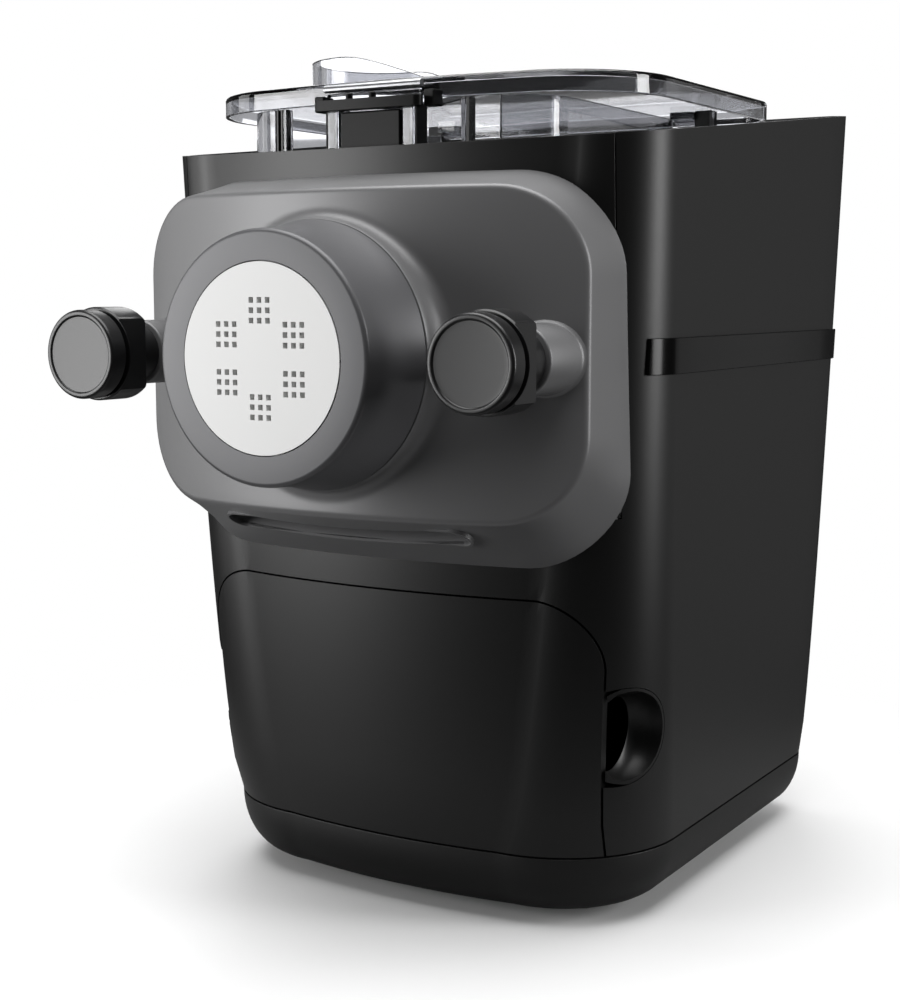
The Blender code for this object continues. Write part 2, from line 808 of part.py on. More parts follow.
def rear_cover():
    cover = keep(wall_surface("rear_cover"), rear_block("rear_region", -SEAM_GAP))
    vents = []
    for i in range(VENT_COUNT):
        z = NOZZLE_HEIGHT - VENT_TOP_DROP - i * VENT_PITCH
        low = (-VENT_LENGTH / 2, -FRONT - 2 * REAR_SEAM_INSET, z - VENT_WIDTH / 2)
        high = (VENT_LENGTH / 2, -FRONT + CUT_OVERRUN, z + VENT_WIDTH / 2)
        vents.append(box(f"vent_{i}", low, high, cutter=True))
    cut(cover, *vents)
    centre = inlet_centre()
    low = centre - Vector((INLET_WIDTH / 2 + SEAT_GAP, WALL + CUT_OVERRUN, INLET_HEIGHT / 2 + SEAT_GAP))
    high = centre + Vector((INLET_WIDTH / 2 + SEAT_GAP, CUT_OVERRUN, INLET_HEIGHT / 2 + SEAT_GAP))
    cut(cover, box("inlet_opening", low, high, cutter=True))
    return place(cover, MATTE_BLACK)


def side_band():
    """A strip that stands proud of the wall, from one edge of the panel round the rear."""
    rings = []
    for z in (NOZZLE_HEIGHT - BAND_BOTTOM_DROP, NOZZLE_HEIGHT + BAND_TOP_RISE):
        ring = section_at_height(z, -BAND_PROUD)
        rings.append(ring)
    strip = loft("side_band", rings, cap_first=False, cap_last=False)
    solid = solidify(strip, BAND_THICKNESS, (0, 0, NOZZLE_HEIGHT))
    front_block = box("band_front_cut", (-TOP_HALF_WIDTH - CUT_OVERRUN, FRONT, 0),
                      (TOP_HALF_WIDTH + CUT_OVERRUN, FRONT + BAND_FRONT_SETBACK, rim_z(RIM_REAR_Y)),
                      cutter=True)
    return place(cut(solid, front_block), GLOSS_BLACK)


# Base cover with its feet, cells and screws

BASE_TOP_Z = SEAM_Z - SEAM_GAP - BASE_RIM_CLEARANCE
BASE_BOTTOM_Z = BASE_TOP_Z - BASE_HEIGHT
FLOOR_Z = BASE_BOTTOM_Z + WALL


def base_cover():
    rings = []
    for share in BASE_LEVEL_SHARES:
        inset = BASE_INSET * (1 - math.sqrt(1 - share * share))
        z = BASE_TOP_Z - BASE_HEIGHT * share
        rings.append([(x, y, z) for x, y in body_section(0, inset)])
    bowl = loft("base_cover", rings, cap_first=False, cap_last=True)
    return place(solidify(bowl, WALL, (0, 0, BASE_TOP_Z)), MATTE_BLACK)


def foot_places():
    for name, setback in (("front", FOOT_FRONT_SETBACK), ("rear", FOOT_REAR_SETBACK)):
        for side_name, side in (("left", -1), ("right", 1)):
            yield f"{name}_{side_name}", side * FOOT_X, FRONT + setback


def feet_and_cells():
    for name, x, y in foot_places():
        top = BASE_BOTTOM_Z - SEAT_GAP
        profile = (
            (0, top),
            (FOOT_NECK_RADIUS, top),
            (FOOT_NECK_RADIUS, top - FOOT_HEIGHT / 3),
            (FOOT_RADIUS, top - FOOT_HEIGHT / 2),
            (FOOT_RADIUS, 0),
            (0, 0),
        )
        foot = turned(f"foot_{name}", profile, (x, y, 0), "z", 16)
        place(foot, RUBBER)
        low = (x - CELL_WIDTH / 2, y - CELL_LENGTH / 2, FLOOR_Z + SEAT_GAP)
        high = (x + CELL_WIDTH / 2, y + CELL_LENGTH / 2, FLOOR_Z + SEAT_GAP + CELL_HEIGHT)
        cell = box(f"load_cell_{name}", low, high)
        for offset in (-CELL_HOLE_SPREAD, CELL_HOLE_SPREAD):
            middle = (x, y + offset, FLOOR_Z + SEAT_GAP + CELL_HEIGHT / 2)
            cut(cell, cylinder(f"cell_hole_{name}_{offset > 0}", CELL_HOLE_RADIUS, CELL_LENGTH,
                               middle, "x", 10, cutter=True))
        place(cell, ZINC, metallic=1.0)


# Front panel

def ray_angles():
    """Directions round the panel, denser where its corners lie."""
    quarter = [math.radians(a) for a in RAY_DEGREES]
    angles = list(quarter)
    angles.append(math.pi / 2)
    angles += [math.pi - a for a in reversed(quarter)]
    angles += [math.pi + a for a in quarter[1:]]
    angles.append(3 * math.pi / 2)
    angles += [2 * math.pi - a for a in reversed(quarter[1:])]
    return angles


def ray_length(angle, half_width, top, drop, corner):
    """Distance from the nozzle axis to a rounded rectangle, along one direction."""
    dx, dz = math.cos(angle), math.sin(angle)
    height = top if dz >= 0 else drop
    reach_x = half_width / abs(dx) if abs(dx) > NO_SLOPE else math.inf
    reach_z = height / abs(dz) if abs(dz) > NO_SLOPE else math.inf
    reach = min(reach_x, reach_z)
    x, z = abs(dx) * reach, abs(dz) * reach
    cx, cz = half_width - corner, height - corner
    if x > cx and z > cz:
        along = abs(dx) * cx + abs(dz) * cz
        reach = along + math.sqrt(max(0.0, along * along - cx * cx - cz * cz + corner * corner))
    return reach


def panel_ring(half_width, top, drop, corner, depth):
    ring = []
    for angle in ray_angles():
        reach = ray_length(angle, half_width, top, drop, corner)
        x, z = reach * math.cos(angle), reach * math.sin(angle)
        ring.append((x, depth(x, z), NOZZLE_HEIGHT + z))
    return ring


def face_depth(x, z=0.0):
    """Depth of the panel's front face, which is bowed in plan."""
    return FRONT + PANEL_FACE_SETBACK + x * x / (2 * PANEL_BOW_RADIUS)


def wall_depth(x, z):
    """Depth of the body's front wall behind the panel at a place in the front view."""
    share = share_at(RIM_FRONT_Y, NOZZLE_HEIGHT + z)
    ring = body_section(share)
    across = abs(x)
    for (x0, y0), (x1, y1) in zip(ring, ring[1:]):
        if x0 <= across <= x1 and x1 > x0:
            return mix(y0, y1, (across - x0) / (x1 - x0))
    return ring[0][1]


def rim_depth(x, z):
    """The rim is drawn past the wall's outside, and the body's shape trims it later."""
    return wall_depth(x, z) + PANEL_RIM_OVERLAP


def circle_ring(radius, depth):
    ring = []
    for angle in ray_angles():
        ring.append((radius * math.cos(angle), depth, NOZZLE_HEIGHT + radius * math.sin(angle)))
    return ring


def mixed_ring(outer, inner, share):
    return [tuple(mix(a, b, share) for a, b in zip(p, q)) for p, q in zip(outer, inner)]


def on_face(ring, lift=0.0):
    return [(x, face_depth(x) - lift, z) for x, _, z in ring]


def panel_rings(inset=0.0):
    """Sections from the rear rim, over the edge and the face, to the boss mouth."""
    rear = panel_ring(PANEL_REAR_HALF_WIDTH - inset, PANEL_REAR_TOP - inset, PANEL_REAR_DROP - inset,
                      PANEL_REAR_CORNER - inset, rim_depth)
    edge = panel_ring(PANEL_FACE_HALF_WIDTH - inset, PANEL_FACE_TOP - inset, PANEL_FACE_DROP - inset,
                      PANEL_FACE_CORNER - inset, face_depth)
    round_in = panel_ring(PANEL_FACE_HALF_WIDTH - inset - PANEL_EDGE_ROUND,
                          PANEL_FACE_TOP - inset - PANEL_EDGE_ROUND,
                          PANEL_FACE_DROP - inset - PANEL_EDGE_ROUND,
                          PANEL_FACE_CORNER - inset - PANEL_EDGE_ROUND, face_depth)
    below = [tuple(mix(a, b, PANEL_EDGE_ROUND / math.dist(p, q)) for a, b in zip(p, q))
             for p, q in zip(edge, rear)]
    middle = mixed_ring(below, rear, EDGE_MIDDLE_SHARE)
    corner = mixed_ring(mixed_ring(below, round_in, 1 / 2), edge, 1 / 2)
    foot = on_face(circle_ring(BOSS_FOOT_RADIUS, 0.0))
    between = on_face(mixed_ring(round_in, foot, 1 / 2))
    return [rear, middle, below, corner, round_in, between, foot]


def front_panel():
    rings = panel_rings()
    foot = rings[-1]
    boss = circle_ring(BOSS_RADIUS, FRONT + BOSS_SETBACK)
    flare = []
    for p, q in zip(foot, boss):
        x, _, z = (mix(a, b, FLARE_IN_SHARE) for a, b in zip(p, q))
        flare.append((x, mix(p[1], q[1], FLARE_OUT_SHARE), z))
    mouth = circle_ring(BOSS_BORE_RADIUS, FRONT + BOSS_SETBACK)
    outer = loft("front_panel", rings + [flare, boss, mouth], cap_first=False, cap_last=False)
    shell = solidify(outer, PANEL_WALL, (0, 0, NOZZLE_HEIGHT))
    bosses = []
    bores = []
    for side in (-1, 1):
        x = side * KNOB_X
        end = face_depth(KNOB_X + KNOB_BOSS_RADIUS) + PANEL_WALL
        start = FRONT + KNOB_BOSS_SETBACK
        bosses.append(cylinder(f"knob_boss_{side}", KNOB_BOSS_RADIUS, end - start,
                               (x, (start + end) / 2, NOZZLE_HEIGHT), "y", 32))
        bores.append(cylinder(f"knob_boss_bore_{side}", STUD_RADIUS + STUD_HOLE_PLAY,
                end - start + CUT_OVERRUN,
                              (x, (start + end) / 2, NOZZLE_HEIGHT), "y", 20, cutter=True))
    backing, slot = grip_solids()
    fuse(shell, *bosses, backing)
    cut(shell, *bores, slot, body_volume("panel_trim", -PANEL_RIM_CLEARANCE))
    return place(shell, SATIN_GREY)


# Slope frame of the panel's lower face, where the grip recess lies

def grip_frame():
    low = Vector((0, wall_depth(0, -PANEL_REAR_DROP), -PANEL_REAR_DROP))
    high = Vector((0, face_depth(0), -PANEL_FACE_DROP))
    along = (low - high).normalized()
    outward = along.cross(Vector((1, 0, 0)))
    middle = high + along * GRIP_DISTANCE + Vector((0, 0, NOZZLE_HEIGHT))
    frame = Matrix.Identity(4)
    for column, vector in enumerate((Vector((1, 0, 0)), outward, along, middle)):
        frame.col[column][:3] = vector
    return frame


def grip_band(half_width, top, bottom):
    """Outline that follows the bowed face above and is flat below, as (x, outward) points."""
    points = []
    for i in range(GRIP_STEPS + 1):
        x = half_width * (1 - 2 * i / GRIP_STEPS)
        points.append((x, top - GRIP_BOW_SHARE * x * x / (2 * PANEL_BOW_RADIUS)))
    return points + [(-half_width, bottom), (half_width, bottom)]


def slot_outline(half_width, half_height):
    right = arc(half_width - half_height, 0, half_height, -90, 90, GRIP_END_STEPS)
    left = arc(-half_width + half_height, 0, half_height, 90, 270, GRIP_END_STEPS)
    return right + left


def grip_solids():
    """The block that backs the grip recess, and the slot that is cut into it."""
    frame = grip_frame()
    backing = flat_solid("grip_backing", grip_band(GRIP_HALF_WIDTH + PANEL_WALL, -GRIP_SINK,
            -GRIP_DEPTH - PANEL_WALL),
                         GRIP_HEIGHT + 2 * PANEL_WALL, None, matrix=frame)
    turn = Matrix.Rotation(-math.pi / 2, 4, "X")
    middle = Matrix.Translation((0, (CUT_OVERRUN - GRIP_DEPTH) / 2, 0))
    slot = flat_solid("grip_slot", slot_outline(GRIP_HALF_WIDTH, GRIP_HEIGHT / 2), GRIP_DEPTH + CUT_OVERRUN,
                      None, matrix=frame @ middle @ turn, cutter=True)
    return backing, slot


# Knobs, studs and nuts

def nozzle_point(x, setback, rise=0.0):
    return Vector((x, FRONT + setback, NOZZLE_HEIGHT + rise))


def axis_profile(points):
    """Points of (radius, setback) as (radius, height) for turning round the Y axis."""
    return [(radius, -setback) for radius, setback in points]


def knob(name, side):
    bore = STUD_RADIUS + SHAFT_PLAY
    end = KNOB_BOSS_SETBACK - SLIDE_GAP
    points = (
        (0, KNOB_DISH),
        (KNOB_FACE_RADIUS, KNOB_DISH),
        (KNOB_FACE_RADIUS + KNOB_RIM_ROUND / 2, 0),
        (KNOB_DISC_RADIUS - KNOB_RIM_ROUND / 2, 0),
        (KNOB_DISC_RADIUS, KNOB_RIM_ROUND),
        (KNOB_DISC_RADIUS, KNOB_DISC_DEPTH),
        (KNOB_GROOVE_RADIUS, KNOB_DISC_DEPTH),
        (KNOB_GROOVE_RADIUS, KNOB_GROOVE_END),
        (KNOB_RADIUS, KNOB_GROOVE_END),
        (KNOB_RADIUS, KNOB_BLOCK_END - KNOB_RIM_ROUND),
        (KNOB_RADIUS - KNOB_RIM_ROUND, KNOB_BLOCK_END),
        (KNOB_NECK_RADIUS, KNOB_BLOCK_END),
        (KNOB_NECK_RADIUS, end),
        (bore, end),
        (bore, STUD_START - SEAT_GAP),
        (0, STUD_START - SEAT_GAP),
    )
    centre = nozzle_point(side * KNOB_X, 0)
    made = turned(name, axis_profile(points), centre, "y", KNOB_TURN_STEPS)
    for way in (-1, 1):
        inner = centre + Vector((way * KNOB_FLAT_OFFSET, KNOB_GROOVE_END, -KNOB_RADIUS))
        outer = centre + Vector((way * (KNOB_RADIUS + CUT_OVERRUN), KNOB_BLOCK_END + KNOB_RIM_ROUND,
                KNOB_RADIUS))
        low = Vector((min(inner.x, outer.x), inner.y, inner.z))
        high = Vector((max(inner.x, outer.x), outer.y, outer.z))
        cut(made, box(f"{name}_flat_{way > 0}", low, high, cutter=True))
    set_origin(made, centre)
    return place(made, KNOB_BLACK)


def stud(name, side):
    seat = UPRIGHT_SETBACK - SEAT_GAP
    end = UPRIGHT_SETBACK + UPRIGHT_THICKNESS + STUD_END_LENGTH
    points = (
        (0, STUD_START),
        (STUD_RADIUS, STUD_START),
        (STUD_RADIUS, seat - STUD_FLANGE_THICKNESS),
        (STUD_FLANGE_RADIUS, seat - STUD_FLANGE_THICKNESS),
        (STUD_FLANGE_RADIUS, seat),
        (STUD_END_RADIUS, seat),
        (STUD_END_RADIUS, end),
        (0, end),
    )
    made = turned(name, axis_profile(points), nozzle_point(side * KNOB_X, 0), "y", 20)
    return place(made, STEEL, metallic=1.0)


def stud_nut(name, side):
    start = UPRIGHT_SETBACK + UPRIGHT_THICKNESS + SEAT_GAP
    centre = nozzle_point(side * KNOB_X, start + STUD_NUT_THICKNESS / 2)
    nut = cylinder(name, STUD_NUT_RADIUS, STUD_NUT_THICKNESS, centre, "y", 6)
    cut(nut, cylinder(f"{name}_hole", STUD_END_RADIUS + SHAFT_PLAY, STUD_NUT_THICKNESS + CUT_OVERRUN,
                      centre, "y", 24, cutter=True))
    return place(nut, STEEL, metallic=1.0)


# Disc, ring and tube on the nozzle axis

def square_holes(depth):
    """One cutter with the six groups of three by three square holes."""
    bm = bmesh.new()
    size = Matrix.Diagonal((DISC_HOLE_SIDE, depth + CUT_OVERRUN, DISC_HOLE_SIDE, 1))
    for group in range(DISC_GROUPS):
        angle = math.pi / 2 + 2 * math.pi * group / DISC_GROUPS
        middle = nozzle_point(DISC_GROUP_RADIUS * math.cos(angle), depth / 2,
                DISC_GROUP_RADIUS * math.sin(angle))
        for row in range(DISC_ROWS):
            for column in range(DISC_ROWS):
                x = (column - (DISC_ROWS - 1) / 2) * DISC_HOLE_PITCH
                z = (row - (DISC_ROWS - 1) / 2) * DISC_HOLE_PITCH
                bmesh.ops.create_cube(bm, size=1, matrix=Matrix.Translation(middle + Vector((x, 0,
                        z))) @ size)
    return from_bmesh("square_holes", bm, cutter=True)


def shaping_disc():
    depth = DISC_FRONT_THICKNESS + DISC_BACK_THICKNESS
    points = (
        (0, 0),
        (DISC_RADIUS, 0),
        (DISC_RADIUS, DISC_FRONT_THICKNESS + SEAT_GAP),
        (DISC_FLANGE_RADIUS, DISC_FRONT_THICKNESS + SEAT_GAP),
        (DISC_FLANGE_RADIUS, depth),
        (0, depth),
    )
    disc = turned("shaping_disc", axis_profile(points), nozzle_point(0, 0), "y", 36)
    cut(disc, square_holes(depth))
    for side in (-1, 1):
        cut(disc, cylinder(f"disc_key_{side}", DISC_KEY_RADIUS, DISC_FRONT_THICKNESS,
                           nozzle_point(side * DISC_RADIUS, 0), "y", 10, cutter=True))
    return place(disc, WHITE)


def disc_ring():
    rear = BOSS_SETBACK - SLIDE_GAP
    face = RING_FACE_SETBACK
    lip = DISC_FRONT_THICKNESS
    waist = mix(RING_OUTER_RADIUS, RING_REAR_RADIUS, RING_WAIST_SHARE)
    points = (
        (DISC_RADIUS + SEAT_GAP, face),
        (RING_OUTER_RADIUS - RING_EDGE_ROUND, face),
        (RING_OUTER_RADIUS - RING_EDGE_ROUND / 3, face + RING_EDGE_ROUND / 3),
        (RING_OUTER_RADIUS, face + RING_EDGE_ROUND),
        (waist, rear / 2),
        (mix(waist, RING_REAR_RADIUS, RING_WAIST_SHARE), rear * 3 / 4),
        (RING_REAR_RADIUS, rear),
        (RING_REAR_RADIUS - RING_WALL, rear),
        (RING_OUTER_RADIUS - RING_WALL, RING_POCKET_START),
        (RING_THREAD_RADIUS + RING_WALL, RING_POCKET_START),
        (RING_THREAD_RADIUS + RING_WALL, rear),
        (RING_THREAD_RADIUS, rear),
        (RING_THREAD_RADIUS, lip),
        (DISC_RADIUS + SEAT_GAP, lip),
    )
    ring = turned("disc_ring", axis_profile(points), nozzle_point(0, 0))
    set_origin(ring, nozzle_point(0, 0))
    return place(ring, SATIN_GREY)


SEAL_START = CHAMBER_START - SEAT_GAP - CHAMBER_SEAL_THICKNESS
TUBE_END = SEAL_START - SEAT_GAP


def extrusion_tube():
    start = DISC_FRONT_THICKNESS + DISC_BACK_THICKNESS + SEAT_GAP
    points = (
        (TUBE_BORE_RADIUS, start),
        (TUBE_OUTER_RADIUS, start),
        (TUBE_OUTER_RADIUS, TUBE_END - TUBE_FLANGE_THICKNESS),
        (TUBE_FLANGE_RADIUS, TUBE_END - TUBE_FLANGE_THICKNESS),
        (TUBE_FLANGE_RADIUS, TUBE_END),
        (TUBE_BORE_RADIUS, TUBE_END),
    )
    return place(turned("extrusion_tube", axis_profile(points), nozzle_point(0, 0), "y", 32), SATIN_GREY)


def chamber_seal():
    points = (
        (TUBE_FLANGE_RADIUS - CHAMBER_SEAL_WIDTH, SEAL_START),
        (TUBE_FLANGE_RADIUS, SEAL_START),
        (TUBE_FLANGE_RADIUS, SEAL_START + CHAMBER_SEAL_THICKNESS),
        (TUBE_FLANGE_RADIUS - CHAMBER_SEAL_WIDTH, SEAL_START + CHAMBER_SEAL_THICKNESS),
    )
    return place(turned("chamber_seal", axis_profile(points), nozzle_point(0, 0), "y", 32), RUBBER)


# Mixing chamber: a clear trough with round ends

CHAMBER_TOP_RISE = LID_TOP_RISE - LID_WALL - SEAT_GAP
CHAMBER_END = CHAMBER_START + CHAMBER_LENGTH


def trough(inset, setback):
    """U section across the chamber, from the left rim round the bottom to the right rim."""
    radius = CHAMBER_RADIUS - inset
    flare = CHAMBER_TOP_RISE * CHAMBER_FLARE_SHARE
    right = []
    for i in range(CHAMBER_WALL_STEPS + 1):
        share = i / CHAMBER_WALL_STEPS
        x = mix(radius, CHAMBER_TOP_HALF_WIDTH - inset, share * share)
        right.append((x, mix(flare, CHAMBER_TOP_RISE, share)))
    left = [(-x, z) for x, z in reversed(right)]
    under = arc(0, 0, radius, 180, 360, CHAMBER_ARC_STEPS)
    return [nozzle_point(x, setback, z) for x, z in left + under + right]


def mixing_chamber():
    stations = []
    for share in CHAMBER_END_SHARES:
        inset = CHAMBER_CORNER * (1 - math.sqrt(1 - (1 - share) ** 2))
        stations.append((inset, CHAMBER_CORNER * share))
    rings = [trough(inset, CHAMBER_START + depth) for inset, depth in stations]
    rings += [trough(inset, CHAMBER_END - depth) for inset, depth in reversed(stations)]
    surface = loft("mixing_chamber", rings, closed=False)
    inside = nozzle_point(0, (CHAMBER_START + CHAMBER_END) / 2, CHAMBER_RADIUS / 2)
    chamber = solidify(surface, CHAMBER_WALL, inside)
    low = nozzle_point(-TOP_HALF_WIDTH, 0, CHAMBER_TOP_RISE - CHAMBER_RIM_TRIM)
    high = nozzle_point(TOP_HALF_WIDTH, OVERALL_DEPTH, LID_TOP_RISE + CUT_OVERRUN)
    cut(chamber, box("chamber_rim_cut", low, high, cutter=True))
    cut(chamber, cylinder("chamber_mouth", TUBE_BORE_RADIUS, 2 * CHAMBER_CORNER,
                          nozzle_point(0, CHAMBER_START), "y", 32, cutter=True))
    cut(chamber, cylinder("chamber_seal_hole", SEAL_RADIUS + SEAT_GAP, 2 * CHAMBER_CORNER,
                          nozzle_point(0, CHAMBER_END), "y", 24, cutter=True))
    return place(chamber, CLEAR_SMOKE, alpha=0.35)


# Drive train

OUTPUT_RADIUS = GEAR_MODULE_SLOW * OUTPUT_TEETH / 2
SMALL_RADIUS = GEAR_MODULE_SLOW * SMALL_TEETH / 2
LARGE_RADIUS = GEAR_MODULE_FAST * LARGE_TEETH / 2
PINION_RADIUS = GEAR_MODULE_FAST * PINION_TEETH / 2
IDLER_DROP = OUTPUT_RADIUS + SMALL_RADIUS
MOTOR_DROP = IDLER_DROP + LARGE_RADIUS + PINION_RADIUS
GEAR_START = BULKHEAD_SETBACK + BULKHEAD_THICKNESS + GEAR_SIDE_PLAY
SLOW_START = GEAR_START + FAST_GEAR_WIDTH + GEAR_SIDE_PLAY
SLOW_END = SLOW_START + SLOW_GEAR_WIDTH
HOUSING_BACK = SLOW_END + 2 * GEAR_SIDE_PLAY
SHAFT_FRONT = CHAMBER_END - CHAMBER_WALL - SCREW_SHAFT_GAP
MOTOR_START = HOUSING_BACK + HOUSING_WALL + SEAT_GAP
FAN_START = MOTOR_START + MOTOR_LENGTH + FAN_GAP


def gear_outline(teeth, module, tooth_degrees):
    """Straight sided teeth with play, one of them centred on a direction."""
    radius = module * teeth / 2
    tip, root = radius + ADDENDUM_SHARE * module, radius - DEDENDUM_SHARE * module
    pitch = 2 * math.pi / teeth
    corners = ((-TOOTH_ROOT_SHARE, root), (-TOOTH_TIP_SHARE, tip), (TOOTH_TIP_SHARE, tip),
            (TOOTH_ROOT_SHARE, root))
    points = []
    for tooth in range(teeth):
        middle = math.radians(tooth_degrees) + tooth * pitch
        for share, reach in corners:
            angle = middle + share * pitch / 2
            points.append((reach * math.cos(angle), reach * math.sin(angle)))
    return points


def gear(name, teeth, module, tooth_degrees, start, width, drop):
    centre = nozzle_point(0, start + width / 2, -drop)
    return flat_solid(name, gear_outline(teeth, module, tooth_degrees), width, centre, "y")


def bored(obj, radius, drop, steps=24):
    hole = cylinder(f"{obj.name}_bore", radius, OVERALL_DEPTH, nozzle_point(0, OVERALL_DEPTH / 2, -drop),
                    "y", steps, cutter=True)
    return cut(obj, hole)


def output_gear():
    made = gear("output_gear", OUTPUT_TEETH, GEAR_MODULE_SLOW, -90, SLOW_START, SLOW_GEAR_WIDTH, 0)
    bored(made, SHAFT_JOURNAL_RADIUS + SHAFT_PLAY, 0)
    set_origin(made, nozzle_point(0, SLOW_START))
    return place(made, GEAR_WHITE)


def intermediate_gear():
    large = gear("intermediate_gear", LARGE_TEETH, GEAR_MODULE_FAST, -90, GEAR_START,
            FAST_GEAR_WIDTH, IDLER_DROP)
    half_tooth = 180 / SMALL_TEETH
    small = gear("intermediate_small", SMALL_TEETH, GEAR_MODULE_SLOW, 90 + half_tooth,
                 GEAR_START + FAST_GEAR_WIDTH / 2, SLOW_END - GEAR_START - FAST_GEAR_WIDTH / 2, IDLER_DROP)
    fuse(large, small)
    bored(large, PIN_RADIUS + SHAFT_PLAY, IDLER_DROP)
    set_origin(large, nozzle_point(0, GEAR_START, -IDLER_DROP))
    return place(large, GEAR_WHITE)


def intermediate_pin():
    start = BULKHEAD_SETBACK + BULKHEAD_THICKNESS + SEAT_GAP
    length = HOUSING_BACK - SEAT_GAP - start
    centre = nozzle_point(0, start + length / 2, -IDLER_DROP)
    return place(cylinder("intermediate_pin", PIN_RADIUS, length, centre, "y", 24), STEEL, metallic=1.0)


def motor_pinion():
    half_tooth = 180 / PINION_TEETH
    made = gear("motor_pinion", PINION_TEETH, GEAR_MODULE_FAST, 90 + half_tooth, GEAR_START,
            FAST_GEAR_WIDTH, MOTOR_DROP)
    bored(made, MOTOR_SHAFT_RADIUS + SHAFT_PLAY, MOTOR_DROP, 16)
    set_origin(made, nozzle_point(0, GEAR_START, -MOTOR_DROP))
    return place(made, BRASS, metallic=1.0)


def motor_shaft():
    start = GEAR_START
    length = FAN_START + FAN_WIDTH - start
    centre = nozzle_point(0, start + length / 2, -MOTOR_DROP)
    made = cylinder("motor_shaft", MOTOR_SHAFT_RADIUS, length, centre, "y", 16)
    set_origin(made, nozzle_point(0, start, -MOTOR_DROP))
    return place(made, STEEL, metallic=1.0)


def motor():
    end = MOTOR_START + MOTOR_LENGTH
    points = (
        (MOTOR_SHAFT_RADIUS + SHAFT_PLAY, MOTOR_START),
        (MOTOR_RADIUS - MOTOR_EDGE, MOTOR_START),
        (MOTOR_RADIUS, MOTOR_START + MOTOR_EDGE),
        (MOTOR_RADIUS, end - MOTOR_EDGE),
        (MOTOR_RADIUS - MOTOR_EDGE, end),
        (MOTOR_SHAFT_RADIUS + SHAFT_PLAY, end),
    )
    made = turned("motor", axis_profile(points), nozzle_point(0, 0, -MOTOR_DROP), "y", 32)
    return place(made, ZINC, metallic=1.0)


def cooling_fan():
    centre = nozzle_point(0, FAN_START + FAN_WIDTH / 2, -MOTOR_DROP)
    hub = cylinder("cooling_fan", FAN_HUB_RADIUS, FAN_WIDTH, centre, "y", 20)
    blades = []
    for i in range(FAN_BLADES):
        bm = bmesh.new()
        length = FAN_RADIUS - FAN_HUB_RADIUS / 2
        spin = Matrix.Rotation(2 * math.pi * i / FAN_BLADES, 4, "Y")
        out = Matrix.Translation((FAN_HUB_RADIUS / 2 + length / 2, 0, 0))
        tilt = Matrix.Rotation(math.radians(FAN_BLADE_TILT_DEGREES), 4, "X")
        depth = FAN_WIDTH * FAN_BLADE_SHARE
        size = Matrix.Diagonal((length, depth, FAN_BLADE_THICKNESS, 1))
        bmesh.ops.create_cube(bm, size=1, matrix=Matrix.Translation(centre) @ spin @ out @ tilt @ size)
        blades.append(from_bmesh(f"fan_blade_{i}", bm))
    fuse(hub, *blades)
    bored(hub, MOTOR_SHAFT_RADIUS + SHAFT_PLAY, MOTOR_DROP, 16)
    set_origin(hub, centre)
    return place(hub, GLOSS_BLACK)


def two_circles(upper_radius, lower_radius):
    """Outline round two circles on one upright line, as (x, z) from the nozzle axis."""
    lean = math.degrees(math.asin((upper_radius - lower_radius) / HOUSING_LOWER_DROP))
    upper = arc(0, 0, upper_radius, -lean, 180 + lean, HOUSING_STEPS * 2)
    lower = arc(0, -HOUSING_LOWER_DROP, lower_radius, 180 + lean, 360 - lean, HOUSING_STEPS)
    return upper + lower


def gearbox_housing():
    upper = OUTPUT_RADIUS + GEAR_MODULE_SLOW + HOUSING_MARGIN
    start = BULKHEAD_SETBACK + BULKHEAD_THICKNESS + SEAT_GAP
    end = HOUSING_BACK + HOUSING_WALL
    outer = two_circles(upper + HOUSING_WALL, HOUSING_LOWER_RADIUS)
    inner = two_circles(upper, HOUSING_LOWER_RADIUS - HOUSING_WALL)
    case = flat_solid("gearbox_housing", outer, end - start, nozzle_point(0, (start + end) / 2), "y")
    hollow = HOUSING_BACK - start + CUT_OVERRUN
    pocket = flat_solid("gearbox_pocket", inner, hollow, nozzle_point(0, HOUSING_BACK - hollow / 2),
            "y", cutter=True)
    cut(case, pocket)
    for name, radius, drop in (("shaft", SHAFT_JOURNAL_RADIUS, 0), ("motor", MOTOR_SHAFT_RADIUS,
            MOTOR_DROP)):
        cut(case, cylinder(f"gearbox_{name}_bore", radius + SHAFT_PLAY, HOUSING_WALL + CUT_OVERRUN,
                           nozzle_point(0, HOUSING_BACK + HOUSING_WALL / 2, -drop), "y", 24, cutter=True))
    return place(case, ZINC, metallic=0.6)


def output_shaft():
    end = HOUSING_BACK + HOUSING_WALL - SEAT_GAP
    step = SLOW_START - GEAR_SIDE_PLAY
    points = ((0, SHAFT_FRONT), (SHAFT_RADIUS, SHAFT_FRONT), (SHAFT_RADIUS, step),
            (SHAFT_JOURNAL_RADIUS, step),
              (SHAFT_JOURNAL_RADIUS, end), (0, end))
    made = turned("output_shaft", axis_profile(points), nozzle_point(0, 0), "y", 24)
    half = TENON_SIDE / 2
    low = nozzle_point(-half, SHAFT_FRONT - SOCKET_DEPTH + GEAR_SIDE_PLAY, -half)
    high = nozzle_point(half, SHAFT_FRONT + half, half)
    fuse(made, box("shaft_tenon", low, high))
    set_origin(made, nozzle_point(0, SHAFT_FRONT))
    return place(made, STEEL, metallic=1.0)


